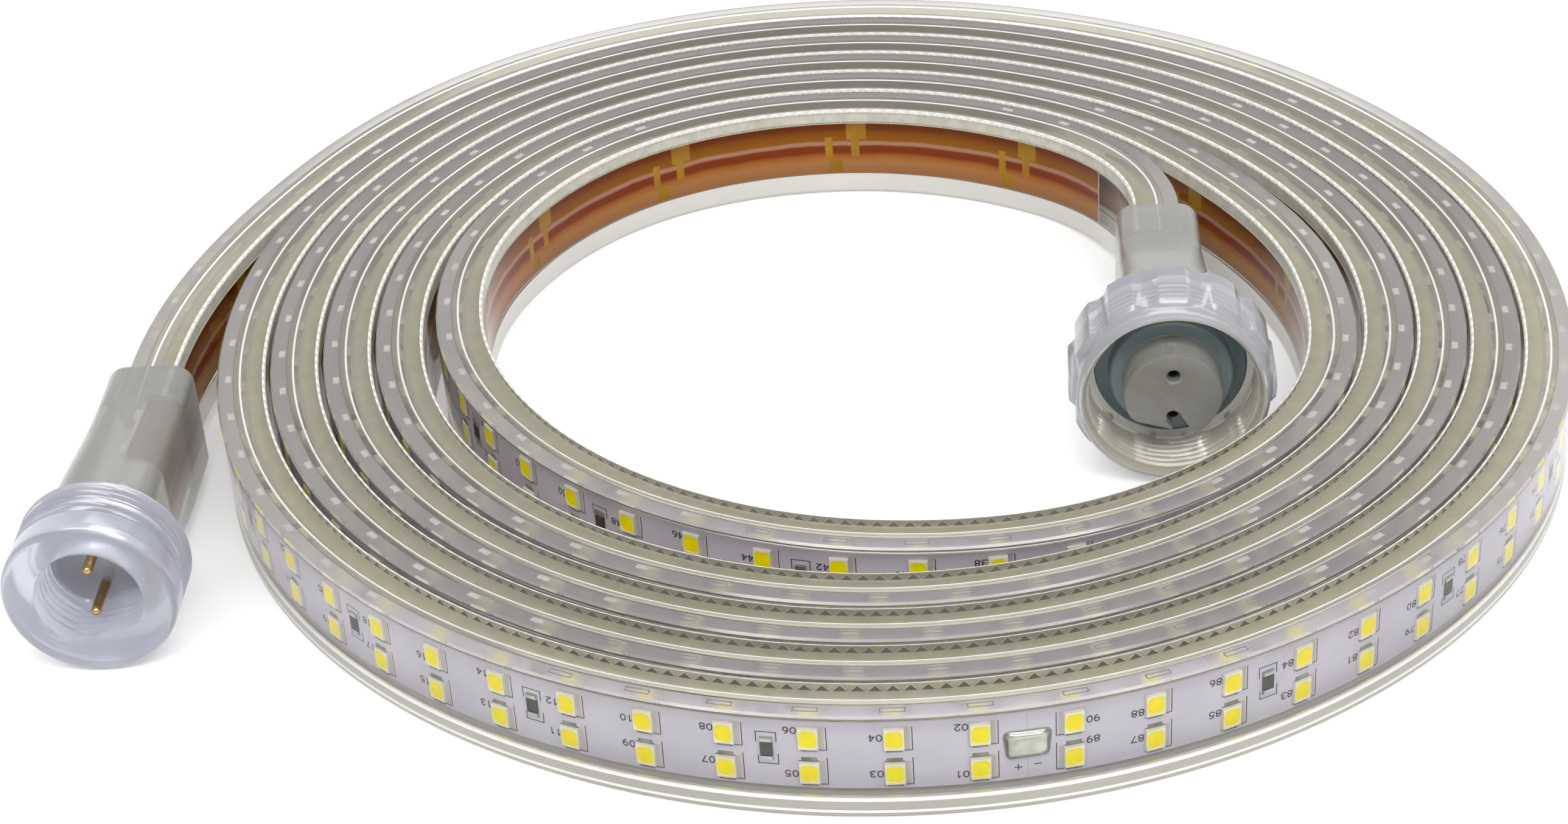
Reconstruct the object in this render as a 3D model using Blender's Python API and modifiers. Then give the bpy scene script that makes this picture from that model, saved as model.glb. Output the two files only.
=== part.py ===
"""Clear flexible LED strip light, wound into a flat coil, with a screw connector on each end.

The coil lies on the floor with the strip standing on its edge and its light side outward.
+X is to the right, -Y towards the front, +Z up. Both connectors point to the front.
"""
import math

import bmesh
import bpy
from mathutils import Matrix, Vector

MM = 0.001

# The strip: a clear extrusion with the circuit board cast in.
STRIP_HEIGHT = 16.6 * MM
STRIP_THICKNESS = 7.5 * MM
STRIP_CHAMFER = 1.1 * MM
BOARD_WIDTH = 10.8 * MM
BOARD_THICKNESS = 0.5 * MM
BOARD_DEPTH = 4.2 * MM          # light face of the board, behind the strip's outer face
BOARD_INNER_SETBACK = 35.0 * MM     # the board stops this far before the strip's inner end
BOARD_OUTER_SETBACK = 6.0 * MM      # and this far before its outer end
BOARD_CLEARANCE = 0.3 * MM      # all round the board in its slot

# The coil: centre line of the strip, in steps of 30 degrees from COIL_START.
COIL_START = 60.0
COIL_STEP = 30.0
COIL_END = 1950.0
SPINE_STEP = 9.0
COIL_RADIUS = 70.0 * MM
TURN_GAP = 0.5 * MM             # between the turns where they lie close
TURN_PITCH = STRIP_THICKNESS + TURN_GAP
COIL_CENTRE_X = 8.18 * MM
COIL_CENTRE_Y = -4.17 * MM
# Radius of the first turn, in parts of COIL_RADIUS.
FIRST_TURN = (0.9643, 1.0229, 1.0443, 0.9914, 0.9171, 0.8743,
              0.8843, 0.94, 1.0214, 1.0686, 1.0343, 1.0157)
# How much wider the second turn stands off the first, and then each turn further out off
# the one before, in parts of TURN_PITCH.
SECOND_SPREAD = (-0.0125, 0.025, 0.025, 0.0, 0.2, 0.6, 0.7375, 0.625, 0.175, 0.0, 0.15, 0.2625)
TURN_DRIFT = (0.0, 0.0, 0.0, 0.0, 0.025, 0.05, 0.05, 0.03125, 0.025, 0.0, 0.0, 0.0)

SEAT_GAP = 0.3 * MM             # between pieces that meet face to face
RUNNING_GAP = 0.4 * MM          # round what the nut turns on

# Boots: rounded blocks moulded over the ends of the strip.
BOOT_LENGTH = 40.0 * MM
BOOT_HEIGHT = 19.8 * MM
BOOT_WIDTH_BACK = 13.4 * MM
BOOT_WIDTH_FRONT = 15.2 * MM
BOOT_CORNER = 3.2 * MM
BOOT_BACK_ROUND = 1.2 * MM
BOOT_POCKET_DEPTH = 9.0 * MM
BOOT_FLOOR_GAP = 0.5 * MM       # below the back of a boot
NECK_RADIUS = 9.3 * MM
CORNER_POINTS = 6
BOOT_RISE_STEPS = 5

# Male connector: threaded shell with a D-shaped bore and two pins.
SHELL_RADIUS = 12.6 * MM
SHELL_LENGTH = 12.0 * MM
SHELL_EDGE = 0.8 * MM
BORE_DEPTH = 9.0 * MM
SHELL_RECESS_DEPTH = 1.5 * MM
PIN_RADIUS = 0.75 * MM
PIN_SPACING = 7.1 * MM
PIN_TIP_INSET = 1.8 * MM
PIN_ROOT_DEPTH = 4.0 * MM       # into the boot
PIN_HOLE_RADIUS = PIN_RADIUS + SEAT_GAP

# Female connector: insert with a D-shaped plug, and the nut that turns round it.
PLUG_RADIUS = 7.3 * MM
PLUG_FLAT = 5.6 * MM            # from the axis to the flat
PLUG_FLAT_ANGLE = -105.0
BORE_FLAT_ANGLE = -180.0 - PLUG_FLAT_ANGLE     # the plug's flat, as the other mouth faces it
PLUG_INSET = 0.4 * MM
PLUG_LENGTH = 6.0 * MM
STEP_RADIUS = 9.3 * MM
STEP_LENGTH = 3.0 * MM
FLANGE_RADIUS = 11.6 * MM
FLANGE_LENGTH = 2.0 * MM
TAIL_RADIUS = 5.0 * MM
TAIL_LENGTH = 3.0 * MM
CONTACT_RADIUS = 1.0 * MM
CONTACT_DEPTH = 8.0 * MM
KEYWAY_WIDTH = 2.4 * MM
KEYWAY_DEPTH = 4.5 * MM
KEYWAY_TURN = 32.0              # degrees from straight down, towards the right
NUT_WALL = 2.6 * MM             # over the lobes of the nut
NUT_EDGE = 1.3 * MM
NUT_LIP = 2.0 * MM
NUT_BORE_RADIUS = SHELL_RADIUS + RUNNING_GAP
NUT_RADIUS = NUT_BORE_RADIUS + NUT_WALL
NUT_LIP_RADIUS = NECK_RADIUS + RUNNING_GAP
NUT_LENGTH = PLUG_INSET + PLUG_LENGTH + STEP_LENGTH + FLANGE_LENGTH + SEAT_GAP + NUT_LIP
GROOVE_COUNT = 12
GROOVE_RADIUS = 2.4 * MM
GROOVE_DEPTH = 0.9 * MM

# Both connectors: the turn that each one lies beside, as the angle along the coil, the room
# between them, and the way that the mouth points.
MALE_BESIDE = 1649.58
MALE_COIL_GAP = 16.4 * MM
MALE_FLOOR_GAP = 0.2 * MM
MALE_HEADING = -92.1
FEMALE_BESIDE = 322.42
FEMALE_COIL_GAP = 1.11 * MM
FEMALE_FLOOR_GAP = 0.3 * MM
FEMALE_HEADING = -95.1

ROUND_STEPS = 48
PIN_STEPS = 12
OVERRUN = 2.0 * MM              # how far a cutter reaches past what it cuts


def clear_scene():
    for obj in list(bpy.data.objects):
        bpy.data.objects.remove(obj, do_unlink=True)


def make_collection(name):
    collection = bpy.data.collections.new(name)
    bpy.context.scene.collection.children.link(collection)
    return collection


def make_material(name, color, roughness, metallic=0.0, transmission=0.0):
    material = bpy.data.materials.new(name)
    material.use_nodes = True
    shader = material.node_tree.nodes["Principled BSDF"]
    shader.inputs["Base Color"].default_value = (*color, 1.0)
    shader.inputs["Roughness"].default_value = roughness
    shader.inputs["Metallic"].default_value = metallic
    shader.inputs["Transmission Weight"].default_value = transmission
    return material


def add_mesh(name, bm, collection, matrix=None):
    mesh = bpy.data.meshes.new(name)
    bm.to_mesh(mesh)
    bm.free()
    obj = bpy.data.objects.new(name, mesh)
    collection.objects.link(obj)
    if matrix is not None:
        obj.matrix_world = matrix
    return obj


def curve_to_mesh(obj, collection):
    """Turn a curve object into a closed mesh object of the same name and place."""
    name, matrix = obj.name, obj.matrix_world.copy()
    bpy.context.view_layer.update()
    evaluated = obj.evaluated_get(bpy.context.evaluated_depsgraph_get())
    mesh = bpy.data.meshes.new_from_object(evaluated)
    curve = obj.data
    bpy.data.objects.remove(obj, do_unlink=True)
    bpy.data.curves.remove(curve)
    bm = bmesh.new()
    bm.from_mesh(mesh)
    bmesh.ops.remove_doubles(bm, verts=bm.verts[:], dist=0.001 * MM)
    bmesh.ops.recalc_face_normals(bm, faces=bm.faces[:])
    bpy.data.meshes.remove(mesh)
    return add_mesh(name, bm, collection, matrix)


def as_cutter(obj):
    obj.hide_render = True
    obj.display_type = "WIRE"
    return obj


def boolean(obj, other, operation="DIFFERENCE"):
    modifier = obj.modifiers.new(other.name, "BOOLEAN")
    modifier.operation = operation
    modifier.object = other


def shade(obj, material, angle=35.0):
    """Give the object its material, and smooth shading with sharp edges where it bends."""
    obj.data.materials.clear()
    obj.data.materials.append(material)
    obj.data.shade_smooth()
    obj.data.set_sharp_from_angle(angle=math.radians(angle))


# The coil's centre line

def catmull(values, position):
    """Smooth value at a fractional index of the list."""
    index = min(max(int(math.floor(position)), 1), len(values) - 3)
    t = position - index
    a, b, c, d = values[index - 1:index + 3]
    return 0.5 * (2.0 * b + (c - a) * t + (2.0 * a - 5.0 * b + 4.0 * c - d) * t * t
                  + (3.0 * b - a - 3.0 * c + d) * t ** 3)


def turn_radii():
    """Centre line radius at every COIL_STEP, from one step before the start to past the end."""
    steps = len(FIRST_TURN)
    first = [COIL_RADIUS * part for part in FIRST_TURN]
    radii = [2.0 * first[0] - first[1]] + first
    count = int((COIL_END - COIL_START) / COIL_STEP) + 2
    for index in range(steps, count):
        turn, place = divmod(index - steps, steps)
        radii.append(first[place] + TURN_PITCH * (1.0 + SECOND_SPREAD[place])
                     + turn * TURN_PITCH * (1.0 + TURN_DRIFT[place]))
    radii.append(2.0 * radii[-1] - radii[-2])
    return radii


def coil_middle():
    return Vector((COIL_CENTRE_X, COIL_CENTRE_Y, 0.0))


def coil_point(radii, angle):
    radius = catmull(radii, (angle - COIL_START) / COIL_STEP + 1.0)
    turn = math.radians(angle)
    return coil_middle() + Vector((radius * math.cos(turn), radius * math.sin(turn), 0.0))


def coil_heading(radii, angle):
    return (coil_point(radii, angle + 0.5) - coil_point(radii, angle - 0.5)).normalized()


def bezier(start, start_way, end, end_way, steps):
    """Points of the smooth bend from start to end, without start itself."""
    reach = (end - start).length / 3.0
    p1, p2 = start + start_way * reach, end - end_way * reach
    points = []
    for step in range(1, steps + 1):
        t = step / steps
        points.append(start * (1 - t) ** 3 + p1 * (3 * t * (1 - t) ** 2)
                      + p2 * (3 * t * t * (1 - t)) + end * t ** 3)
    return points


def connector_matrix(beside, outside, radius, coil_gap, floor_gap, heading):
    """Local frame of a connector: x to its right, y up, z out of its mouth.

    The mouth lies outside (1) or inside (-1) of the turn at the angle beside.
    """
    turn = math.radians(heading)
    forward = Vector((math.cos(turn), math.sin(turn), 0.0))
    up = Vector((0.0, 0.0, 1.0))
    right = up.cross(forward)
    near = coil_point(turn_radii(), beside)
    away = (near - coil_middle()).normalized() * outside
    room = 0.5 * STRIP_THICKNESS + radius * abs(away.dot(right)) + coil_gap
    matrix = Matrix((right, up, forward)).transposed().to_4x4()
    matrix.translation = near + away * room + up * (radius + floor_gap)
    return matrix


def smooth_step(t):
    t = min(max(t, 0.0), 1.0)
    return t * t * (3.0 - 2.0 * t)


def end_bend(start, start_way, matrix, boot_back):
    """Route from the coil to the bottom of a boot's pocket, rising to the pocket's height."""
    lift = pocket_lift()
    way = matrix.to_3x3() @ Vector((0.0, 0.0, 1.0))
    entry = matrix @ Vector((0.0, 0.0, boot_back - OVERRUN))
    end = matrix @ Vector((0.0, 0.0, boot_back + BOOT_POCKET_DEPTH - SEAT_GAP))
    entry.z = end.z = 0.0
    points = bezier(start, start_way, entry, way, 8)
    for index, point in enumerate(points):
        point.z = lift * smooth_step((index + 1) / len(points))
    end.z = lift
    return points + [end]


def pocket_lift():
    """How high the strip's lower edge lies in a boot."""
    return BOOT_FLOOR_GAP + 0.5 * (BOOT_HEIGHT - STRIP_HEIGHT)


def strip_route(male, female):
    """Lower centre line of the whole strip, from the female boot to the male one."""
    radii = turn_radii()
    inner = end_bend(coil_point(radii, COIL_START), -coil_heading(radii, COIL_START),
                     female, FEMALE_BOOT_BACK)
    outer = end_bend(coil_point(radii, COIL_END), coil_heading(radii, COIL_END),
                     male, MALE_BOOT_BACK)
    steps = round((COIL_END - COIL_START) / SPINE_STEP)
    turns = [coil_point(radii, COIL_START + (COIL_END - COIL_START) * i / steps)
             for i in range(steps + 1)]
    return list(reversed(inner)) + turns + outer


def extend_end(points, distance):
    """The route with its last point moved on along it; a negative distance shortens it."""
    last = points[-1] + (points[-1] - points[-2]).normalized() * distance
    return points[:-1] + [last]


def trim_start(points, distance):
    """The route without its first stretch of that length."""
    points = list(points)
    while (points[1] - points[0]).length <= distance:
        distance -= (points[1] - points[0]).length
        points.pop(0)
    points[0] = points[0].lerp(points[1], distance / (points[1] - points[0]).length)
    return points


def section_outline(width, height, chamfer):
    """Corners of a section, width across the strip and height up, cut at the corners."""
    w, h, c = 0.5 * width, 0.5 * height, chamfer
    if c <= 0.0:
        return [(-w, -h), (w, -h), (w, h), (-w, h)]
    return [(-w + c, -h), (w - c, -h), (w, -h + c), (w, h - c),
            (w - c, h), (-w + c, h), (-w, h - c), (-w, -h + c)]


def poly_curve(name, points, collection, cyclic, dimensions):
    data = bpy.data.curves.new(name, "CURVE")
    data.dimensions = dimensions
    spline = data.splines.new("POLY")
    spline.points.add(len(points) - 1)
    for target, point in zip(spline.points, points):
        target.co = (*point, 1.0)
    spline.use_cyclic_u = cyclic
    obj = bpy.data.objects.new(name, data)
    collection.objects.link(obj)
    return obj


def sweep(name, route, section, inset, middle, collection, guides):
    """Sweep a section along the route, its middle at a height and a distance off the line.

    inset is positive towards the inside of the coil.
    """
    outline = [(x + inset, y + middle, 0.0) for x, y in section]
    profile = poly_curve(name + "_section", outline, guides, True, "2D")
    path = poly_curve(name, route, collection, False, "3D")
    path.data.twist_mode = "Z_UP"
    path.data.bevel_mode = "OBJECT"
    path.data.bevel_object = profile
    path.data.use_fill_caps = True
    obj = curve_to_mesh(path, collection)
    as_cutter(profile)
    return obj


# Round and D-shaped pieces of the connectors

def turned(name, profile, matrix, collection, steps=ROUND_STEPS):
    """Turn a closed profile of (radius, z) points, which runs down its outer side."""
    bm = bmesh.new()
    verts = [bm.verts.new((radius, 0.0, z)) for radius, z in profile]
    loop = verts if profile[0][0] == 0.0 else verts + verts[:1]
    for a, b in zip(loop, loop[1:]):
        bm.edges.new((a, b))
    obj = add_mesh(name, bm, collection, matrix)
    screw = obj.modifiers.new("Turn", "SCREW")
    screw.axis = "Z"
    screw.steps = screw.render_steps = steps
    screw.use_merge_vertices = True
    screw.merge_threshold = 0.01 * MM
    return obj


def cylinder(name, radius, low, high, matrix, collection, x=0.0, y=0.0, steps=ROUND_STEPS):
    bm = bmesh.new()
    bmesh.ops.create_cone(bm, cap_ends=True, segments=steps, radius1=radius, radius2=radius,
                          depth=high - low)
    bmesh.ops.translate(bm, verts=bm.verts[:], vec=(x, y, 0.5 * (low + high)))
    return add_mesh(name, bm, collection, matrix)


def block(name, size, centre, matrix, collection):
    bm = bmesh.new()
    bmesh.ops.create_cube(bm, size=1.0)
    bmesh.ops.scale(bm, verts=bm.verts[:], vec=size)
    bmesh.ops.translate(bm, verts=bm.verts[:], vec=centre)
    return add_mesh(name, bm, collection, matrix)


def d_prism(name, radius, flat, flat_angle, low, high, matrix, collection):
    """A D-shaped bar: a round one with a flat at a distance from its axis."""
    half = math.acos(flat / radius)
    middle = math.radians(flat_angle)
    sweep_angle = 2.0 * (math.pi - half)
    outline = []
    for step in range(ROUND_STEPS - 7):
        angle = middle + half + sweep_angle * step / (ROUND_STEPS - 8)
        outline.append((radius * math.cos(angle), radius * math.sin(angle), 0.0))
    obj = poly_curve(name, outline, collection, True, "2D")
    obj.data.fill_mode = "BOTH"
    obj.data.extrude = 0.5 * (high - low)
    obj.matrix_world = matrix @ Matrix.Translation((0.0, 0.0, 0.5 * (low + high)))
    return curve_to_mesh(obj, collection)


def boot_section(width, height, corner, centre, z):
    """Points round a rounded rectangle that stands across the connector's axis."""
    points = []
    for quarter, (sx, sy) in enumerate(((1, 1), (-1, 1), (-1, -1), (1, -1))):
        cx, cy = sx * (0.5 * width - corner), centre + sy * (0.5 * height - corner)
        for step in range(CORNER_POINTS):
            angle = 0.5 * math.pi * (quarter + step / (CORNER_POINTS - 1))
            points.append(Vector((cx + corner * math.cos(angle), cy + corner * math.sin(angle), z)))
    return points


def loft(name, sections, matrix, collection):
    """Closed body through sections with the same number of points, from back to front."""
    bm = bmesh.new()
    rings = [[bm.verts.new(point) for point in section] for section in sections]
    count = len(rings[0])
    for low, high in zip(rings, rings[1:]):
        for i in range(count):
            j = (i + 1) % count
            bm.faces.new((low[i], low[j], high[j], high[i]))
    bm.faces.new(list(reversed(rings[0])))
    bm.faces.new(rings[-1])
    return add_mesh(name, bm, collection, matrix)


def boot(name, matrix, back, front, neck_end, axis_height, parts, cutters):
    """Boot from back to front, with a round neck in front of it and a pocket for the strip.

    axis_height is the connector's height over the floor; the back of the boot sits lower.
    """
    low = BOOT_FLOOR_GAP + 0.5 * BOOT_HEIGHT - axis_height
    straight = back + BOOT_POCKET_DEPTH + OVERRUN
    trim = 2.0 * BOOT_BACK_ROUND
    sections = [
        boot_section(BOOT_WIDTH_BACK - trim, BOOT_HEIGHT - trim, BOOT_CORNER - BOOT_BACK_ROUND,
                     low, back),
        boot_section(BOOT_WIDTH_BACK, BOOT_HEIGHT, BOOT_CORNER, low, back + BOOT_BACK_ROUND)]
    for step in range(BOOT_RISE_STEPS + 1):
        t = step / BOOT_RISE_STEPS
        width = BOOT_WIDTH_BACK + (BOOT_WIDTH_FRONT - BOOT_WIDTH_BACK) * t
        sections.append(boot_section(width, BOOT_HEIGHT, BOOT_CORNER,
                                     low * (1.0 - smooth_step(t)),
                                     straight + (front - straight) * t))
    body = loft(name, sections, matrix, parts)
    neck = as_cutter(cylinder(name + "_neck", NECK_RADIUS, front - OVERRUN, neck_end, matrix,
                              cutters))
    boolean(body, neck, "UNION")
    pocket_height = STRIP_HEIGHT + 2.0 * SEAT_GAP
    pocket_width = STRIP_THICKNESS + 2.0 * SEAT_GAP
    depth = BOOT_POCKET_DEPTH + OVERRUN
    pocket = as_cutter(block(name + "_pocket", (pocket_width, pocket_height, depth),
                             (0.0, low, back + BOOT_POCKET_DEPTH - 0.5 * depth), matrix, cutters))
    boolean(body, pocket)
    return body


# Where the boots start, behind each mouth
MALE_BOOT_FRONT = -SHELL_LENGTH - SEAT_GAP
MALE_BOOT_BACK = MALE_BOOT_FRONT - BOOT_LENGTH
FEMALE_BOOT_FRONT = -NUT_LENGTH - RUNNING_GAP
FEMALE_BOOT_BACK = FEMALE_BOOT_FRONT - BOOT_LENGTH


def build_strip(male, female, parts, cutters, clear, white):
    route = strip_route(male, female)
    middle = 0.5 * STRIP_HEIGHT
    sleeve = sweep("strip_sleeve", route,
                   section_outline(STRIP_THICKNESS, STRIP_HEIGHT, STRIP_CHAMFER),
                   0.0, middle, parts, cutters)
    inset = BOARD_DEPTH + 0.5 * BOARD_THICKNESS - 0.5 * STRIP_THICKNESS
    board_route = trim_start(extend_end(route, -BOARD_OUTER_SETBACK), BOARD_INNER_SETBACK)
    slot_route = trim_start(extend_end(route, OVERRUN), BOARD_INNER_SETBACK - BOARD_CLEARANCE)
    board = sweep("light_board", board_route,
                  section_outline(BOARD_THICKNESS, BOARD_WIDTH, 0.0),
                  inset, middle, parts, cutters)
    slot = sweep("board_slot", slot_route,
                 section_outline(BOARD_THICKNESS + 2.0 * BOARD_CLEARANCE,
                                 BOARD_WIDTH + 2.0 * BOARD_CLEARANCE, 0.0),
                 inset, middle, cutters, cutters)
    boolean(sleeve, as_cutter(slot))
    shade(sleeve, clear)
    shade(board, white)


def build_male(matrix, parts, cutters, soft, hard, brass):
    floor = -BORE_DEPTH
    recess = -SHELL_LENGTH + SHELL_RECESS_DEPTH
    edge = SHELL_EDGE
    shell = turned("threaded_shell", [
        (0.0, 0.0), (SHELL_RADIUS - edge, 0.0), (SHELL_RADIUS, -edge),
        (SHELL_RADIUS, -SHELL_LENGTH + edge), (SHELL_RADIUS - edge, -SHELL_LENGTH),
        (NECK_RADIUS + SEAT_GAP, -SHELL_LENGTH), (NECK_RADIUS + SEAT_GAP, recess),
        (0.0, recess)], matrix, parts)
    bore = as_cutter(d_prism("shell_bore", PLUG_RADIUS + SEAT_GAP, PLUG_FLAT + SEAT_GAP,
                             BORE_FLAT_ANGLE, floor, OVERRUN, matrix, cutters))
    boolean(shell, bore)
    body = boot("male_boot", matrix, MALE_BOOT_BACK, MALE_BOOT_FRONT, recess - SEAT_GAP,
                SHELL_RADIUS + MALE_FLOOR_GAP, parts, cutters)
    root = recess - SEAT_GAP - PIN_ROOT_DEPTH
    for label, side in (("a", 1.0), ("b", -1.0)):
        y = 0.5 * side * PIN_SPACING
        hole = as_cutter(cylinder("pin_hole_" + label, PIN_HOLE_RADIUS, root - SEAT_GAP,
                                  floor + OVERRUN, matrix, cutters, y=y, steps=PIN_STEPS))
        boolean(shell, hole)
        boolean(body, hole)
        tip = -PIN_TIP_INSET
        pin = turned("contact_pin_" + label, [
            (0.0, tip), (0.6 * PIN_RADIUS, tip - 0.2 * PIN_RADIUS),
            (PIN_RADIUS, tip - PIN_RADIUS), (PIN_RADIUS, root), (0.0, root)],
            matrix @ Matrix.Translation((0.0, y, 0.0)), parts, PIN_STEPS)
        shade(pin, brass)
    shade(shell, hard)
    shade(body, soft)


def build_female(matrix, parts, cutters, soft, hard, insert_material):
    plug_front = -PLUG_INSET
    step_front = plug_front - PLUG_LENGTH
    flange_front = step_front - STEP_LENGTH
    flange_back = flange_front - FLANGE_LENGTH
    tail_back = flange_back - TAIL_LENGTH
    lip_front = -NUT_LENGTH + NUT_LIP
    neck_front = flange_back - SEAT_GAP

    body = boot("female_boot", matrix, FEMALE_BOOT_BACK, FEMALE_BOOT_FRONT, neck_front,
                NUT_RADIUS + FEMALE_FLOOR_GAP, parts, cutters)
    tail_pocket = as_cutter(cylinder("tail_pocket", TAIL_RADIUS + SEAT_GAP, tail_back - SEAT_GAP,
                                     neck_front + OVERRUN, matrix, cutters))
    boolean(body, tail_pocket)

    insert = turned("socket_insert", [
        (0.0, step_front), (STEP_RADIUS, step_front), (STEP_RADIUS, flange_front),
        (FLANGE_RADIUS, flange_front), (FLANGE_RADIUS, flange_back),
        (TAIL_RADIUS, flange_back), (TAIL_RADIUS, tail_back), (0.0, tail_back)], matrix, parts)
    plug = as_cutter(d_prism("plug", PLUG_RADIUS, PLUG_FLAT, PLUG_FLAT_ANGLE,
                             step_front - 0.5 * STEP_LENGTH, plug_front, matrix, cutters))
    boolean(insert, plug, "UNION")
    for label, side in (("a", 1.0), ("b", -1.0)):
        hole = as_cutter(cylinder("contact_hole_" + label, CONTACT_RADIUS,
                                  plug_front - CONTACT_DEPTH, plug_front + OVERRUN, matrix,
                                  cutters, y=0.5 * side * PIN_SPACING, steps=PIN_STEPS))
        boolean(insert, hole)
    drop = PLUG_RADIUS + OVERRUN - 0.5 * PIN_SPACING
    key_matrix = (matrix @ Matrix.Translation((0.0, -0.5 * PIN_SPACING, 0.0))
                  @ Matrix.Rotation(math.radians(KEYWAY_TURN), 4, "Z"))
    keyway = as_cutter(block("keyway", (KEYWAY_WIDTH, drop, KEYWAY_DEPTH + OVERRUN),
                             (0.0, -0.5 * drop, plug_front + 0.5 * (OVERRUN - KEYWAY_DEPTH)),
                             key_matrix, cutters))
    boolean(insert, keyway)

    nut = turned("coupling_nut", [
        (NUT_BORE_RADIUS + 0.5 * NUT_EDGE, 0.0), (NUT_RADIUS - NUT_EDGE, 0.0),
        (NUT_RADIUS, -NUT_EDGE), (NUT_RADIUS, -NUT_LENGTH + NUT_EDGE),
        (NUT_RADIUS - NUT_EDGE, -NUT_LENGTH), (NUT_LIP_RADIUS, -NUT_LENGTH),
        (NUT_LIP_RADIUS, lip_front), (NUT_BORE_RADIUS, lip_front),
        (NUT_BORE_RADIUS, -0.5 * NUT_EDGE)], matrix, parts)
    reach = NUT_RADIUS - GROOVE_DEPTH + GROOVE_RADIUS
    for index in range(GROOVE_COUNT):
        angle = 2.0 * math.pi * (index + 0.5) / GROOVE_COUNT
        groove = as_cutter(cylinder("grip_groove_%02d" % index, GROOVE_RADIUS,
                                    -NUT_LENGTH - OVERRUN, OVERRUN, matrix, cutters,
                                    x=reach * math.cos(angle), y=reach * math.sin(angle),
                                    steps=2 * PIN_STEPS))
        boolean(nut, groove)
    shade(body, soft)
    shade(insert, insert_material)
    shade(nut, hard)


def main():
    clear_scene()
    parts = make_collection("led_strip_light")
    cutters = make_collection("cutters")
    clear = make_material("clear_sleeve", (0.80, 0.79, 0.74), 0.12, transmission=0.85)
    white = make_material("circuit_board", (0.86, 0.84, 0.88), 0.45)
    soft = make_material("clear_boot", (0.78, 0.77, 0.76), 0.25, transmission=0.7)
    hard = make_material("clear_shell", (0.80, 0.80, 0.88), 0.08, transmission=0.9)
    insert = make_material("socket_body", (0.62, 0.62, 0.58), 0.2, transmission=0.6)
    brass = make_material("pin_brass", (0.72, 0.52, 0.22), 0.25, metallic=1.0)

    male = connector_matrix(MALE_BESIDE, 1.0, SHELL_RADIUS, MALE_COIL_GAP, MALE_FLOOR_GAP,
                            MALE_HEADING)
    female = connector_matrix(FEMALE_BESIDE, -1.0, NUT_RADIUS, FEMALE_COIL_GAP, FEMALE_FLOOR_GAP,
                              FEMALE_HEADING)
    build_strip(male, female, parts, cutters, clear, white)
    build_male(male, parts, cutters, soft, hard, brass)
    build_female(female, parts, cutters, soft, hard, insert)


main()
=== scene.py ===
import math

import bmesh
import bpy
import numpy as np
from mathutils import Matrix, Vector


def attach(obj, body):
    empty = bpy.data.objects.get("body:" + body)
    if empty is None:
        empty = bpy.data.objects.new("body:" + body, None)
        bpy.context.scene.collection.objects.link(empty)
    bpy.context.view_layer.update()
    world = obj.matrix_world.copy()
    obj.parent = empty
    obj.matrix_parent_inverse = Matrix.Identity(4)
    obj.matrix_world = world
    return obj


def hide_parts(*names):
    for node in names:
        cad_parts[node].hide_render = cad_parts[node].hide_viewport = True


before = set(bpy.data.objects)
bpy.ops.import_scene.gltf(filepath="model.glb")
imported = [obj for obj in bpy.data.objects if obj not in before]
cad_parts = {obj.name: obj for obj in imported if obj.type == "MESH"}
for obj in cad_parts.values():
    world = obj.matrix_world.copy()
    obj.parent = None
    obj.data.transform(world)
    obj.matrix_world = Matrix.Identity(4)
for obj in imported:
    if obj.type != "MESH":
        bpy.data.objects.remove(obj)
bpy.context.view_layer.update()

MM = 0.001

# All sizes below are in millimetres.
STRIP_H, STRIP_T = 16.6, 7.5
BOARD_H, BOARD_T, BOARD_DEPTH = 10.8, 0.5, 4.2
BOARD_Z = 0.5 * STRIP_T - BOARD_DEPTH          # light face of the board, from the centre line
CENTRE = np.array((8.18, -4.17, 0.0))
MALE_MOUTH, MALE_HEADING = np.array((-113.1, -64.2, 12.8)), -92.1
FEMALE_MOUTH, FEMALE_HEADING = np.array((44.7, -34.4, 15.9)), -95.1
SHELL_L = 12.0
NUT_R, NUT_L = 15.6, 13.7
BOOT_L, BOOT_H, POCKET = 40.0, 19.8, 9.0
LIFT = 0.5 + 0.5 * (BOOT_H - STRIP_H)
MALE_BACK = -SHELL_L - 0.3 - BOOT_L
FEMALE_BACK = -NUT_L - 0.4 - BOOT_L

COLUMN = 11.084            # between LED columns
CUT = 500.0                # length of one board segment
JOINT_IN_COIL = 2467.3     # from the start of the coil's first turn to the joint in front
ROW = 2.825                # LED rows above and below the middle of the board
RIB_PITCH = 2.4            # crossed ribs on the inner side


# The strip's course

def catmull(values, position):
    index = np.clip(np.floor(position).astype(int), 1, len(values) - 3)
    t = position - index
    a, b, c, d = values[index - 1], values[index], values[index + 1], values[index + 2]
    return 0.5 * (2 * b + (c - a) * t + (2 * a - 5 * b + 4 * c - d) * t * t
                  + (3 * b - a - 3 * c + d) * t ** 3)


def coil_radii():
    first = [67.5, 71.6, 73.1, 69.4, 64.2, 61.2, 61.9, 65.8, 71.5, 74.8, 72.4, 71.1]
    second = [75.4, 79.8, 81.3, 77.4, 73.8, 74.0, 75.8, 78.8, 80.9, 82.8, 81.6, 81.2]
    drift = [0, 0, 0, 0, 0.2, 0.4, 0.4, 0.25, 0.2, 0, 0, 0]
    radii = [2 * first[0] - first[1]] + first
    for index in range(12, 65):
        turn, place = divmod(index - 12, 12)
        radii.append(second[place] + turn * (8.0 + drift[place]))
    radii.append(2 * radii[-1] - radii[-2])
    return np.array(radii)


RADII = coil_radii()


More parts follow.
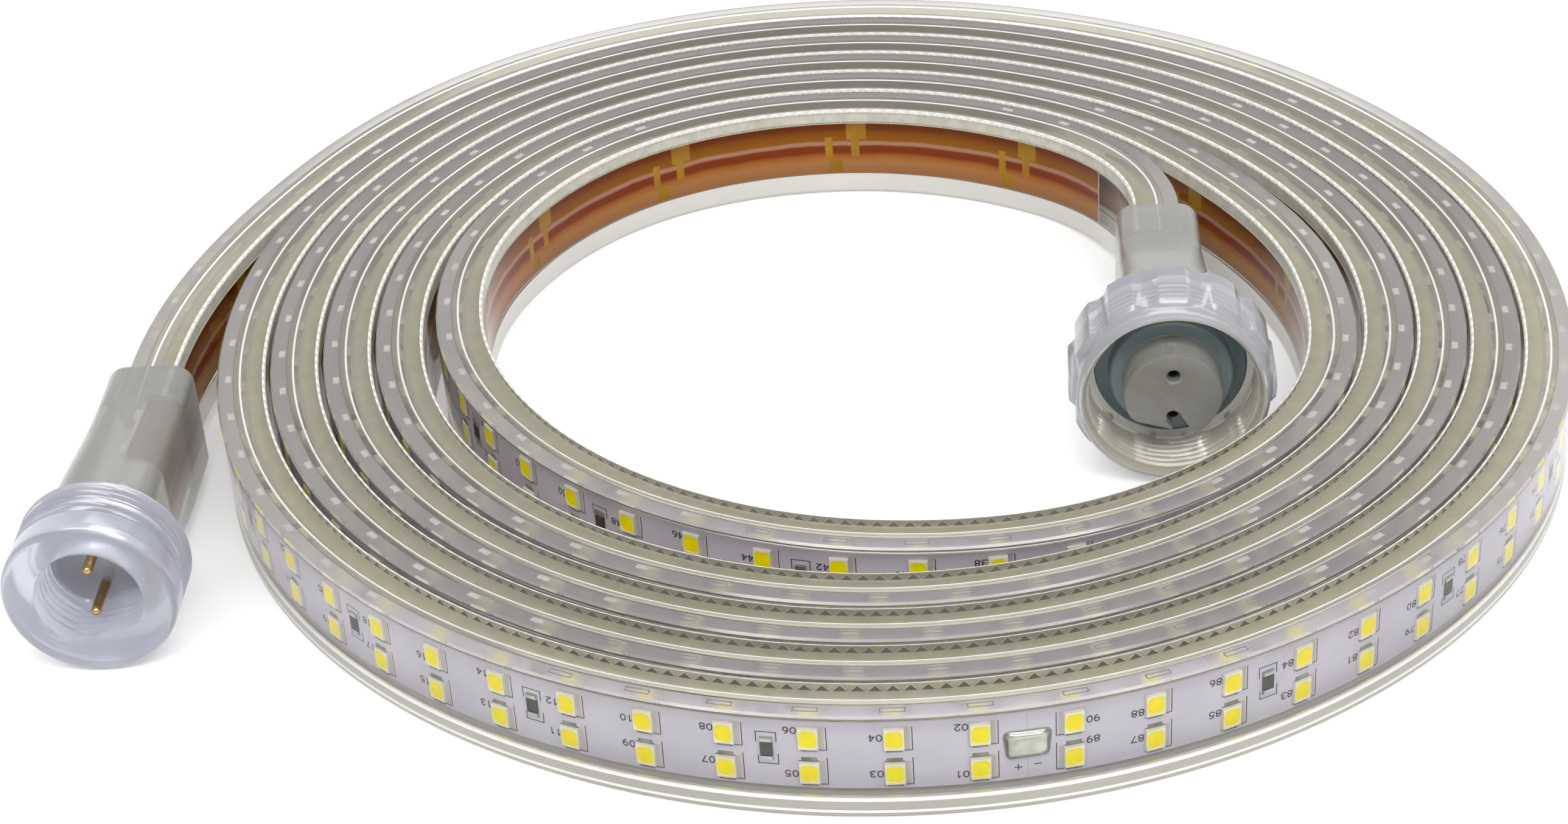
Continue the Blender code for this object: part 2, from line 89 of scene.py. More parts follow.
def coil_point(angle):
    angle = np.asarray(angle, float)
    r = catmull(RADII, (angle - 60.0) / 30.0 + 1.0)
    t = np.radians(angle)
    return CENTRE + np.stack([r * np.cos(t), r * np.sin(t), 0 * t], -1)


def connector_axes(mouth, heading):
    """Origin, right, up and forward of a connector."""
    t = math.radians(heading)
    forward = np.array((math.cos(t), math.sin(t), 0.0))
    up = np.array((0.0, 0.0, 1.0))
    return CENTRE + mouth, np.cross(up, forward), up, forward


def end_bend(start, way, axes, back):
    origin, _, _, forward = axes
    entry = origin + forward * (back - 2.0)
    end = origin + forward * (back + POCKET - 0.3)
    entry[2] = end[2] = 0.0
    reach = np.linalg.norm(entry - start) / 3.0
    p1, p2 = start + way * reach, entry - forward * reach
    t = np.linspace(0.0, 1.0, 61)[1:, None]
    bend = (start * (1 - t) ** 3 + p1 * 3 * t * (1 - t) ** 2 + p2 * 3 * t * t * (1 - t)
            + entry * t ** 3)
    bend[:, 2] = (LIFT * t * t * (3 - 2 * t))[:, 0]
    straight = entry + (end - entry) * np.linspace(0, 1, 9)[1:, None]
    straight[:, 2] = LIFT
    return np.vstack([bend, straight])


def strip_route():
    male, female = (connector_axes(MALE_MOUTH, MALE_HEADING),
                    connector_axes(FEMALE_MOUTH, FEMALE_HEADING))
    turns = coil_point(np.arange(60.0, 1950.01, 1.0))
    first = coil_point(60.0) - coil_point(60.5)
    last = coil_point(1950.0) - coil_point(1949.5)
    inner = end_bend(turns[0], first / np.linalg.norm(first), female, FEMALE_BACK)
    outer = end_bend(turns[-1], last / np.linalg.norm(last), male, MALE_BACK)
    return np.vstack([inner[::-1], turns, outer]), len(inner)


ROUTE, COIL_INDEX = strip_route()
_steps = np.linalg.norm(np.diff(ROUTE, axis=0), axis=1)
ROUTE_S = np.concatenate([[0.0], np.cumsum(_steps)])
LENGTH = ROUTE_S[-1]
_way = np.gradient(ROUTE[:, :2], axis=0)
_way /= np.linalg.norm(_way, axis=1)[:, None]
JOINT_S = ROUTE_S[COIL_INDEX] + JOINT_IN_COIL
BOARD_START, BOARD_END = 35.0, LENGTH + 16.0


def place(points):
    """Strip coordinates (along, up, outward from the centre line) to the row frame, in metres."""
    points = np.asarray(points, float)
    s = points[:, 0]
    base = np.stack([np.interp(s, ROUTE_S, ROUTE[:, k]) for k in range(3)], -1)
    way = np.stack([np.interp(s, ROUTE_S, _way[:, k]) for k in range(2)], -1)
    way /= np.linalg.norm(way, axis=1)[:, None]
    over = np.maximum(s - LENGTH, 0.0) + np.minimum(s, 0.0)
    base[:, :2] += way * over[:, None]
    base[:, 0] += way[:, 1] * points[:, 2]
    base[:, 1] -= way[:, 0] * points[:, 2]
    base[:, 2] += points[:, 1]
    return base * MM


# Mesh helpers

def mesh_object(name, verts, polys, materials, ids=None, uv=None, smooth=True, angle=None,
                body="light"):
    """Mesh from point and polygon arrays; polys is a list of (n, k) index arrays."""
    mesh = bpy.data.meshes.new(name)
    flat = np.concatenate([p.reshape(-1) for p in polys]).astype(np.int32)
    sizes = np.concatenate([np.full(len(p), p.shape[1]) for p in polys]).astype(np.int32)
    starts = np.concatenate([[0], np.cumsum(sizes)[:-1]]).astype(np.int32)
    mesh.vertices.add(len(verts))
    mesh.vertices.foreach_set("co", np.asarray(verts, np.float32).reshape(-1))
    mesh.loops.add(len(flat))
    mesh.loops.foreach_set("vertex_index", flat)
    mesh.polygons.add(len(sizes))
    mesh.polygons.foreach_set("loop_start", starts)
    if ids is not None:
        mesh.polygons.foreach_set("material_index", np.asarray(ids, np.int32))
    if uv is not None:
        layer = mesh.uv_layers.new(name="UVMap")
        layer.data.foreach_set("uv", np.asarray(uv, np.float32)[flat].reshape(-1))
    mesh.update(calc_edges=True)
    mesh.validate()
    for material in materials:
        mesh.materials.append(material)
    mesh.polygons.foreach_set("use_smooth", np.full(len(mesh.polygons), bool(smooth)))
    if smooth and angle is not None:
        mesh.set_sharp_from_angle(angle=math.radians(angle))
    obj = bpy.data.objects.new(name, mesh)
    bpy.context.scene.collection.objects.link(obj)
    if body:
        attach(obj, body)
    return obj


def ring_quads(rings, around):
    """Quads between closed rings of points, one after the other."""
    i = (np.arange(rings - 1) * around)[:, None]
    j = np.arange(around)[None, :]
    k = (j + 1) % around
    return np.stack([i + j, i + k, i + around + k, i + around + j], -1).reshape(-1, 4)


def outward(verts, polys):
    """The polygons, turned over if the closed body would face inward."""
    volume = 0.0
    for block in polys:
        a = verts[block[:, 0]]
        for n in range(1, block.shape[1] - 1):
            volume += np.einsum("ij,ij->", a, np.cross(verts[block[:, n]], verts[block[:, n + 1]]))
    return polys if volume > 0 else [block[:, ::-1] for block in polys]


def rounded_rect(width, height, radius, steps):
    """Points round a rounded rectangle about the origin, anticlockwise."""
    points = []
    for q, (sx, sy) in enumerate(((1, 1), (-1, 1), (-1, -1), (1, -1))):
        cx, cy = sx * (0.5 * width - radius), sy * (0.5 * height - radius)
        for n in range(steps):
            t = 0.5 * math.pi * (q + n / (steps - 1))
            points.append((cx + radius * math.cos(t), cy + radius * math.sin(t)))
    return np.array(points)


def sweep_strip(section, s):
    """Body along the strip with a closed section of (up, outward) points; returns verts, polys."""
    n, m = len(s), len(section)
    pts = np.empty((n, m, 3))
    pts[:, :, 0] = np.asarray(s)[:, None]
    pts[:, :, 1:] = section[None]
    verts = place(pts.reshape(-1, 3))
    caps = np.stack([np.arange(m)[::-1], (n - 1) * m + np.arange(m)])
    return verts, outward(verts, [ring_quads(n, m), caps])


def stamped(local, blocks, anchors):
    """One local mesh set at many anchors on the strip: verts and polygon blocks."""
    local = np.asarray(local, float)
    anchors = np.asarray(anchors, float)
    pts = (anchors[:, None, :] + local[None]).reshape(-1, 3)
    shift = (np.arange(len(anchors)) * len(local))[:, None, None]
    return place(pts), [(b[None] + shift).reshape(-1, b.shape[1]) for b in blocks]


def scatter(name, shape, anchors, material, angle=None):
    """One joined mesh of a shape (verts and polygon blocks) set at many anchors on the strip."""
    verts, *blocks = shape
    world, blocks = stamped(verts, blocks, anchors)
    mesh_object(name, world, blocks, [material], smooth=angle is not None, angle=angle)


def box_mesh(w, h, d, taper=0.0, z=0.0):
    """Box from z to z + d without a bottom, its top narrower by taper on each side."""
    x, y = 0.5 * w, 0.5 * h
    a, b = x - taper, y - taper
    verts = [(-x, -y, z), (x, -y, z), (x, y, z), (-x, y, z),
             (-a, -b, z + d), (a, -b, z + d), (a, b, z + d), (-a, b, z + d)]
    faces = np.array([(0, 1, 5, 4), (1, 2, 6, 5), (2, 3, 7, 6), (3, 0, 4, 7), (4, 5, 6, 7)])
    return np.array(verts), faces


# Materials

def shader_material(name, **values):
    material = bpy.data.materials.new(name)
    material.use_nodes = True
    shader = material.node_tree.nodes["Principled BSDF"]
    for key, value in values.items():
        socket = shader.inputs[key.replace("_", " ")]
        is_colour = isinstance(value, tuple) and len(value) == 3
        socket.default_value = (*value, 1.0) if is_colour else value
    return material, material.node_tree.nodes, material.node_tree.links, shader


def node(nodes, kind, **values):
    made = nodes.new(kind)
    for key, value in values.items():
        if hasattr(made, key):
            setattr(made, key, value)
        else:
            made.inputs[key.replace("_", " ")].default_value = value
    return made


def add_bump(nodes, links, shader, at, scale, strength, distance):
    """Fine unevenness of a surface."""
    fine = node(nodes, "ShaderNodeTexNoise", Scale=scale, Detail=2.0)
    links.new(at.outputs["Object"], fine.inputs["Vector"])
    bumps = node(nodes, "ShaderNodeBump", Strength=strength, Distance=distance)
    links.new(fine.outputs["Fac"], bumps.inputs["Height"])
    links.new(bumps.outputs["Normal"], shader.inputs["Normal"])


def add_noise_colour(nodes, links, shader, low, high, scale, bump, bump_scale=None,
                     distance=0.0001):
    """Colour that wanders between two tones, and a fine bump."""
    at = nodes.new("ShaderNodeTexCoord")
    noise = node(nodes, "ShaderNodeTexNoise", Scale=scale, Detail=3.0)
    links.new(at.outputs["Object"], noise.inputs["Vector"])
    ramp = nodes.new("ShaderNodeValToRGB")
    ramp.color_ramp.elements[0].position, ramp.color_ramp.elements[1].position = 0.3, 0.7
    ramp.color_ramp.elements[0].color = (*low, 1.0)
    ramp.color_ramp.elements[1].color = (*high, 1.0)
    links.new(noise.outputs["Fac"], ramp.inputs["Fac"])
    links.new(ramp.outputs["Color"], shader.inputs["Base Color"])
    add_bump(nodes, links, shader, at, bump_scale or 8 * scale, bump, distance)


NEAR_SIDE, FAR_SIDE = -0.085, -0.02       # in metres, along the frame's Y


def along_depth(material, key, front, back):
    """Makes one value of a material change from the near side of the coil to its far side."""
    nodes, links = material.node_tree.nodes, material.node_tree.links
    socket = nodes["Principled BSDF"].inputs[key]
    at = nodes.new("ShaderNodeTexCoord")
    split = nodes.new("ShaderNodeSeparateXYZ")
    links.new(at.outputs["Object"], split.inputs["Vector"])
    spread = node(nodes, "ShaderNodeMapRange")
    for name, value in (("From Min", NEAR_SIDE), ("From Max", FAR_SIDE), ("To Min", front),
                        ("To Max", back)):
        spread.inputs[name].default_value = value
    links.new(split.outputs["Y"], spread.inputs["Value"])
    links.new(spread.outputs["Result"], socket)


def clear_plastic(name, low, high, roughness, transmission, ior=1.5, scale=22.0, bump=0.1,
                  bump_scale=120.0, distance=0.00005, gloss=0.5):
    material, nodes, links, shader = shader_material(
        name, Roughness=roughness, Transmission_Weight=transmission, IOR=ior,
        Specular_IOR_Level=gloss)
    add_noise_colour(nodes, links, shader, low, high, scale, bump=bump, bump_scale=bump_scale,
                     distance=distance)
    return material


PVC = clear_plastic("clear_pvc", (0.88, 0.88, 0.84), (0.93, 0.93, 0.90), 0.05, 1.0, bump=0.15,
                    ior=1.44, gloss=0.1)
REAR = clear_plastic("clear_pvc_rear", (0.88, 0.84, 0.76), (0.93, 0.90, 0.84), 0.05, 1.0, bump=0.15,
                     ior=1.22, gloss=0.0)
HAZY = clear_plastic("hazy_pvc", (0.42, 0.40, 0.30), (0.50, 0.48, 0.37), 0.09, 0.94, bump=0.2)
FROST = clear_plastic("frosted_pvc", (0.47, 0.455, 0.45), (0.55, 0.535, 0.53), 0.40, 0.84)
DULL = clear_plastic("dull_pvc", (0.56, 0.55, 0.49), (0.66, 0.65, 0.58), 0.35, 0.60)
MILKY = clear_plastic("milky_pvc", (0.74, 0.73, 0.69), (0.82, 0.81, 0.77), 0.30, 0.45)
along_depth(PVC, "IOR", 1.44, 1.15)
along_depth(HAZY, "Roughness", 0.09, 0.17)
along_depth(HAZY, "Transmission Weight", 0.94, 0.86)
# Real gloss, raised, and a whitish tone that is painted sheen, for the chamfer at the front top
# edge.
GLOSS_AND_PAINTED_SHEEN = clear_plastic("gloss_and_painted_sheen_pvc", (0.80, 0.80, 0.75), (0.88, 0.88, 0.84), 0.16, 0.86, bump=0.5,
                       bump_scale=90.0, distance=0.0001, gloss=0.6)
# Painted highlight: near-white plastic on the bead and on the low steps of the front.
PAINTED_HIGHLIGHT = clear_plastic("painted_highlight_pvc", (0.93, 0.93, 0.90), (0.98, 0.98, 0.96), 0.16, 0.45, bump=0.5,
                      bump_scale=90.0, distance=0.0001, gloss=0.8)
# Painted shade: dark plastic for the line under the front top edge and for the groove on top.
PAINTED_SHADE_LINE = clear_plastic("painted_shade_line_pvc", (0.10, 0.09, 0.07), (0.22, 0.20, 0.16), 0.15, 0.5, bump_scale=250.0)
BOOT = clear_plastic("boot_pvc", (0.44, 0.44, 0.42), (0.54, 0.54, 0.51), 0.20, 0.72, scale=60.0,
                     bump=0.2, bump_scale=250.0)
HARD = clear_plastic("clear_hard_plastic", (0.61, 0.62, 0.71), (0.71, 0.72, 0.80), 0.20, 0.76,
                     scale=60.0, bump_scale=250.0)
KHAKI = clear_plastic("nut_thread_plastic", (0.54, 0.52, 0.41), (0.64, 0.61, 0.50), 0.25, 0.6,
                      scale=60.0, bump_scale=250.0)


def knurled_pvc():
    """Clear plastic with a row of crossed ridges; the map runs in millimetres along and up."""
    material, nodes, links, shader = shader_material(
        "knurled_pvc", Roughness=0.30, Transmission_Weight=0.40, IOR=1.45)
    uv = node(nodes, "ShaderNodeUVMap", uv_map="UVMap")
    split = nodes.new("ShaderNodeSeparateXYZ")
    links.new(uv.outputs["UV"], split.inputs["Vector"])

    def maths(operation, a, b):
        made = node(nodes, "ShaderNodeMath", operation=operation)
        for socket, value in zip(made.inputs, (a, b)):
            if hasattr(value, "is_output"):
                links.new(value, socket)
            else:
                socket.default_value = value
        return made.outputs[0]

    def wave(sign):
        slope = maths("MULTIPLY", split.outputs["Y"], sign * 0.42)
        turn = maths("ADD", maths("MULTIPLY", split.outputs["X"], 1.0 / RIB_PITCH), slope)
        return maths("PINGPONG", turn, 0.5)

    crossed = maths("MAXIMUM", wave(1.0), wave(-1.0))
    bump = node(nodes, "ShaderNodeBump", Strength=1.0, Distance=0.0005)
    links.new(crossed, bump.inputs["Height"])
    links.new(bump.outputs["Normal"], shader.inputs["Normal"])
    # Painted shade: the hollows between the crossed ridges are tinted darker than the ridge tops.
    ramp = nodes.new("ShaderNodeValToRGB")
    low, high = ramp.color_ramp.elements
    low.position, low.color = 0.30, (0.70, 0.69, 0.64, 1.0)
    high.position, high.color = 0.44, (0.84, 0.83, 0.79, 1.0)
    links.new(crossed, ramp.inputs["Fac"])
    links.new(ramp.outputs["Color"], shader.inputs["Base Color"])
    return material


KNURL = knurled_pvc()


def board_front():
    material, nodes, links, shader = shader_material("board_white", Roughness=0.45,
                                                     Specular_IOR_Level=0.1)
    add_noise_colour(nodes, links, shader, (0.60, 0.57, 0.68), (0.68, 0.66, 0.75), 90.0,
                     bump=0.15, bump_scale=900.0, distance=0.00003)
    return material


def board_back():
    """Amber film over copper: bands along the board, from its lower edge (2.9 mm) up; the pink band
    in the middle is a painted highlight line.
    """
    material, nodes, links, shader = shader_material("board_film", Roughness=0.35,
                                                     Specular_IOR_Level=0.0)
    uv = node(nodes, "ShaderNodeUVMap", uv_map="UVMap")
    at = nodes.new("ShaderNodeTexCoord")
    split = nodes.new("ShaderNodeSeparateXYZ")
    links.new(uv.outputs["UV"], split.inputs["Vector"])
    noise = node(nodes, "ShaderNodeTexNoise", Scale=160.0, Detail=3.0)
    links.new(at.outputs["Object"], noise.inputs["Vector"])
    wander = node(nodes, "ShaderNodeMath", operation="MULTIPLY_ADD")
    wander.inputs[1].default_value = 0.8
    links.new(noise.outputs["Fac"], wander.inputs[0])
    links.new(split.outputs["Y"], wander.inputs[2])
    height = node(nodes, "ShaderNodeMapRange")
    height.inputs["From Min"].default_value = 3.3
    height.inputs["From Max"].default_value = 14.1
    links.new(wander.outputs[0], height.inputs["Value"])
    ramp = nodes.new("ShaderNodeValToRGB")
    # The pink band at 0.53 to 0.575 is a painted highlight line; the other bands are the film's own
    # colour.
    bands = ((0.0, (0.44, 0.20, 0.08)), (0.20, (0.46, 0.21, 0.07)), (0.32, (0.38, 0.13, 0.02)),
             (0.39, (0.20, 0.030, 0.001)), (0.50, (0.21, 0.035, 0.001)), (0.53, (0.42, 0.22, 0.15)),
             (0.575, (0.43, 0.23, 0.16)), (0.605, (0.28, 0.11, 0.002)), (0.74, (0.25, 0.075, 0.001)),
             (0.84, (0.20, 0.040, 0.001)), (1.0, (0.20, 0.040, 0.002)))
    elements = ramp.color_ramp.elements
    elements[0].position, elements[0].color = bands[0][0], (*bands[0][1], 1.0)
    elements[1].position, elements[1].color = bands[-1][0], (*bands[-1][1], 1.0)
    for position, colour in bands[1:-1]:
        elements.new(position).color = (*colour, 1.0)
    links.new(height.outputs["Result"], ramp.inputs["Fac"])
    links.new(ramp.outputs["Color"], shader.inputs["Base Color"])
    add_bump(nodes, links, shader, at, 700.0, 0.15, 0.00003)
    return material


def plain(name, low, high, roughness, metallic=0.0, scale=400.0, bump=0.1, gloss=0.1):
    """Opaque material; what is cast in the clear plastic has hardly any gloss of its own."""
    material, nodes, links, shader = shader_material(name, Roughness=roughness, Metallic=metallic,
                                                     Specular_IOR_Level=gloss)
    add_noise_colour(nodes, links, shader, low, high, scale, bump=bump, distance=0.00003)
    return material


BOARD_FRONT, BOARD_BACK = board_front(), board_back()
LED_BODY = plain("led_body", (0.86, 0.82, 0.70), (0.94, 0.91, 0.82), 0.4)
PHOSPHOR = plain("led_phosphor", (0.80, 0.68, 0.0), (0.88, 0.76, 0.0), 0.45, scale=900.0)
# Painted glow: a faint emission makes the phosphor brighter; the LEDs are not lit.
_glow = PHOSPHOR.node_tree.nodes["Principled BSDF"].inputs
_glow["Emission Color"].default_value = (1.0, 0.8, 0.0, 1.0)
_glow["Emission Strength"].default_value = 0.15
SILVER = plain("solder_pads", (0.42, 0.41, 0.40), (0.62, 0.61, 0.58), 0.3, 1.0, scale=500.0)
SOLDER = plain("joint_metal", (0.34, 0.36, 0.31), (0.60, 0.62, 0.56), 0.22, 1.0, scale=300.0)
TINNED = plain("tinned_pads", (0.16, 0.17, 0.12), (0.36, 0.37, 0.29), 0.5, scale=500.0)
MASK = plain("mask_edge", (0.50, 0.48, 0.47), (0.56, 0.54, 0.52), 0.5, scale=500.0)
# Painted shade and painted light: the ribs' dark fronts, and their light sides and lines.
RIB_PAINTED_SHADE = plain("rib_shade", (0.012, 0.008, 0.003), (0.05, 0.032, 0.012), 0.5, scale=700.0, gloss=0.0)
RIB_PAINTED_LIGHT = plain("rib_painted_light", (0.78, 0.77, 0.66), (0.90, 0.89, 0.78), 0.4, scale=700.0)
# Painted light: pale sheets inside the strip, behind and above the ribs, stand for light scattered
# in the plastic.
RIB_PAINTED_SCATTER = plain("rib_painted_scatter", (0.56, 0.54, 0.44), (0.70, 0.67, 0.57), 0.5, scale=500.0, gloss=0.0)
PAINTED_SCATTER_ROOF = plain("painted_scatter_roof", (0.68, 0.66, 0.57), (0.80, 0.78, 0.69), 0.5, scale=300.0, gloss=0.0)
RIB_PAINTED_SCATTER_REAR = plain("rib_painted_scatter_rear", (0.52, 0.52, 0.48), (0.66, 0.66, 0.62), 0.5, scale=500.0, gloss=0.0)
# Painted shade: near-black for the socket contacts, which lie in shadow in the holes.
CONTACT_PAINTED_SHADE = plain("contact_painted_shade", (0.02, 0.022, 0.025), (0.05, 0.05, 0.055), 0.5, scale=700.0)
SHADE = plain("led_outline", (0.06, 0.05, 0.05), (0.12, 0.105, 0.11), 0.5, scale=700.0)
INK = plain("board_ink", (0.045, 0.04, 0.05), (0.08, 0.07, 0.085), 0.6, scale=900.0)
RESISTOR = plain("resistor_body", (0.05, 0.05, 0.05), (0.10, 0.095, 0.09), 0.4, scale=900.0)
BRASS = plain("pin_brass", (0.42, 0.28, 0.09), (0.62, 0.43, 0.16), 0.22, 1.0, gloss=0.5)
INSERT = clear_plastic("socket_plastic", (0.44, 0.43, 0.39), (0.54, 0.53, 0.48), 0.15, 0.7,
                       scale=80.0, bump_scale=250.0)
# Painted shade: darker teal plastic for the faces deep in the socket, round the plug's base.
INSERT_PAINTED_SHADE = clear_plastic("socket_plastic_painted_shade", (0.17, 0.235, 0.25), (0.24, 0.31, 0.325), 0.25,
                            0.4, scale=80.0, bump_scale=250.0)
YELLOW = plain("film_window", (0.34, 0.17, 0.004), (0.44, 0.24, 0.008), 0.35, scale=300.0)


# The strip

RIB_LOW = 14.25                       # crossed ridges on the inner side, from here to the top
RAIL_HIGH = 3.9                       # milky rail low on the inner side, up to here
EDGE_LOW, EDGE_HIGH = 0.60, 0.32      # painted shade: a dark line under the front top edge, below the top
GROOVE_OUT, GROOVE_DEEP = 1.2, 0.03   # groove along the top, painted dark as shade
BRIGHT_EDGES = ((0.80, 1.30), (2.65, 3.45))     # sloping steps low on the front, painted white as highlights


def strip_section():
    """Section of the clear strip as (up, outward), with its rounded corners and fine ridges."""
    h, w, r, e = STRIP_H, 0.5 * STRIP_T, 0.9, 0.5
    corner = [0.5 * math.pi * n / 5.0 for n in range(6)]
    pts = [(h - EDGE_LOW, w), (h - EDGE_HIGH, w), (h, w - 0.28)]
    pts += [(h, GROOVE_OUT + 0.05), (h - GROOVE_DEEP, GROOVE_OUT), (h, GROOVE_OUT - 0.07)]
    pts += [(h - 0.02, 0.42), (h + 0.11, 0.29), (h + 0.12, 0.18), (h - 0.02, 0.02)]    # bead
    pts += [(h - e + e * math.cos(t), -w + e - e * math.sin(t)) for t in corner]
    pts += [(RIB_LOW, -w), (RAIL_HIGH, -w)]
    pts += [(r - r * math.sin(t), -w + r - r * math.cos(t)) for t in corner]
    pts += [(0.5 - 0.5 * math.cos(t), w - 0.5 + 0.5 * math.sin(t)) for t in corner]
    for low, high in BRIGHT_EDGES:
        pts += [(low, w), (high, w - 0.87 * (high - low)), (high + 0.05, w)]
    return np.array(pts)


def along_map(s, section):
    """Map of a swept body in millimetres: along the strip, and up."""
    n, m = len(s), len(section)
    return np.column_stack([np.repeat(np.asarray(s), m), np.tile(section[:, 0], n)])


def build_strip():
    s = np.concatenate([np.arange(0.0, LENGTH, 1.8), [LENGTH]])
    section = strip_section()
    verts, polys = sweep_strip(section, s)
    m = len(section)
    up, out = section.T
    next_up, next_out = np.roll(section, -1, axis=0).T
    top = np.minimum(up, next_up) > STRIP_H - 0.1
    front = np.maximum(out, next_out) > 3.7
    sloping = (np.abs(up - next_up) > 0.12) & (np.abs(out - next_out) > 0.1)
    # Faces that catch highlights: the front top chamfer and the low steps; their pale colour is
    # painted highlight.
    bright = sloping & ((out > 0.2) & (up < next_up) & (up > 0.7) | (up == STRIP_H - EDGE_HIGH))
    chosen = (
        (PVC, up > -1.0),
        (HAZY, top),
        (FROST, top & (np.minimum(out, next_out) > GROOVE_OUT)),
        # the bead's front slope, painted white as a highlight
        (PAINTED_HIGHLIGHT, top & (out > 0.1) & (next_out < 0.35) & (out < 0.5)),
        (FROST, np.maximum(up, next_up) < 0.1),
        (DULL, front & (np.maximum(up, next_up) < 3.6)),
        (KNURL, (out < -3.2) & (np.minimum(up, next_up) > RIB_LOW - 0.1)),
        (REAR, (out < -3.7) & (next_out < -3.7) & (next_up < RIB_LOW + 0.1)),
        (MILKY, (out < -2.8) & (np.maximum(up, next_up) < RAIL_HIGH + 0.1)),
        (GLOSS_AND_PAINTED_SHEEN, bright),
        (PAINTED_HIGHLIGHT, bright & (up < 5.0)),
        # painted shade lines under the front top edge and along the groove on top
        (PAINTED_SHADE_LINE, (up == STRIP_H - EDGE_LOW) & front),
        (PAINTED_SHADE_LINE, (up == STRIP_H - GROOVE_DEEP) | (next_up == STRIP_H - GROOVE_DEEP)))
    materials = [PVC, HAZY, KNURL, FROST, PAINTED_SHADE_LINE, GLOSS_AND_PAINTED_SHEEN, REAR, PAINTED_HIGHLIGHT, DULL, MILKY]
    kinds = np.zeros(m, int)
    for material, where in chosen:
        kinds[where] = materials.index(material)
    ends = [materials.index(HAZY)] * 2
    ids = np.concatenate([np.tile(kinds, len(s) - 1), ends])
    skin = mesh_object("strip_skin", verts, polys, materials, ids=ids, uv=along_map(s, section),
                       angle=40)
    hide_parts("strip_sleeve")

    s = np.concatenate([np.arange(BOARD_START, BOARD_END, 2.0), [BOARD_END]])
    low, high = 0.5 * (STRIP_H - BOARD_H), 0.5 * (STRIP_H + BOARD_H)
    back = BOARD_Z - BOARD_T
    section = np.array([(low, BOARD_Z), (high, BOARD_Z), (high, back), (low, back)])
    verts, polys = sweep_strip(section, s)
    n = len(s) - 1
    ids = np.concatenate([np.tile([0, 0, 1, 1], n), [0, 0]])
    board = mesh_object("circuit_board", verts, polys, [BOARD_FRONT, BOARD_BACK], ids=ids,
                        uv=along_map(s, section), angle=40)
    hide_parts("light_board")


SEGMENTS = range(-7, 3)    # board segments, counted from the joint in front
LAST = 44                  # last column of a segment, with its print the other way round


def led_columns():
    """Every LED column: place along the strip, and the place in its segment, 0 to LAST."""
    columns = []
    for segment in SEGMENTS:
        start = JOINT_S + segment * CUT + 0.5 * (CUT - LAST * COLUMN)
        for n in range(LAST + 1):
            s = start + n * COLUMN
            if BOARD_START + 3.0 < s < BOARD_END - 1.0:
                columns.append((s, LAST - n))
    return columns


COLUMNS = led_columns()
MID = 0.5 * STRIP_H


LED_FOOT = np.array((1.4, 1.75))      # half width and half height at the board
LED_TOP = np.array((1.3, 1.65))
LED_DEPTH, PHOSPHOR_DEPTH = 0.8, 0.68
WINDOW_W, WINDOW_H, WINDOW_CORNER = 2.35, 2.75, 0.7
PAD_W, PAD_H, PAD_DEPTH = 2.1, 0.75, 0.16
PAD_ABOVE, PAD_BELOW = 2.05, -1.95    # pads, from the middle of their LED


def led_mesh():
    """LED package: body with a rounded window, and the phosphor in it."""
    window = rounded_rect(WINDOW_W, WINDOW_H, WINDOW_CORNER, 4)
    rim = np.clip(window * 2.0, -LED_TOP, LED_TOP)
    outlines = ((rim * (LED_FOOT / LED_TOP), 0.0), (rim, LED_DEPTH), (window, LED_DEPTH),
                (window * 0.98, PHOSPHOR_DEPTH))
    m = len(window)
    verts = [np.column_stack([outline, np.full(m, BOARD_Z + depth)]) for outline, depth in outlines]
    quads = ring_quads(4, m)
    fan = (3 * m + np.arange(m))[None, :]
    return np.vstack(verts), quads, fan


def build_leds():
    verts, quads, fan = led_mesh()
    anchors = [(s, MID + side * ROW, 0.0) for s, _ in COLUMNS for side in (-1, 1)]
    world, (q, f) = stamped(verts, [quads, fan], anchors)
    ids = np.concatenate([np.zeros(len(q)), np.ones(len(f))])
    mesh_object("led_packages", world, [q, f], [LED_BODY, PHOSPHOR], ids=ids, angle=30)


def build_pads():
    """Tinned pads between the LEDs, and the edge of the mask round each LED."""
    anchors = [(s, MID + side * ROW + rise, 0.0) for s, _ in COLUMNS for side in (-1, 1)
               for rise in (PAD_ABOVE, PAD_BELOW) if abs(side * ROW + rise) < 4.8]
    pad = box_mesh(PAD_W, PAD_H, PAD_DEPTH, 0.12, BOARD_Z)
    scatter("solder_pads", pad, anchors, TINNED, angle=30)
    verts, faces = flat_quads([(-1.5, -2.2, 2.05, 1.9)], BOARD_Z + 0.012)
    anchors = [(s - 0.55 * (c == LAST), MID + side * ROW, 0.0) for s, c in COLUMNS
               for side in (-1, 1)]
    scatter("mask_edges", (verts, faces[:, ::-1]), anchors, MASK)


def build_resistors():
    places = [(s, MID + 0.82, 0.0) for s, c in COLUMNS if c % 3 == 2 and c < LAST]
    places = [(s - 0.5 * COLUMN, y, z) for s, y, z in places if s - COLUMN > BOARD_START + 3]
    scatter("resistor_bodies", box_mesh(1.7, 2.1, 0.55, 0.05, BOARD_Z), places, RESISTOR, angle=30)
    ends = [(s, y + side * 1.45, z) for s, y, z in places for side in (-1, 1)]
    scatter("resistor_ends", box_mesh(1.8, 0.85, 0.62, 0.14, BOARD_Z), ends, SILVER, angle=30)
    return places


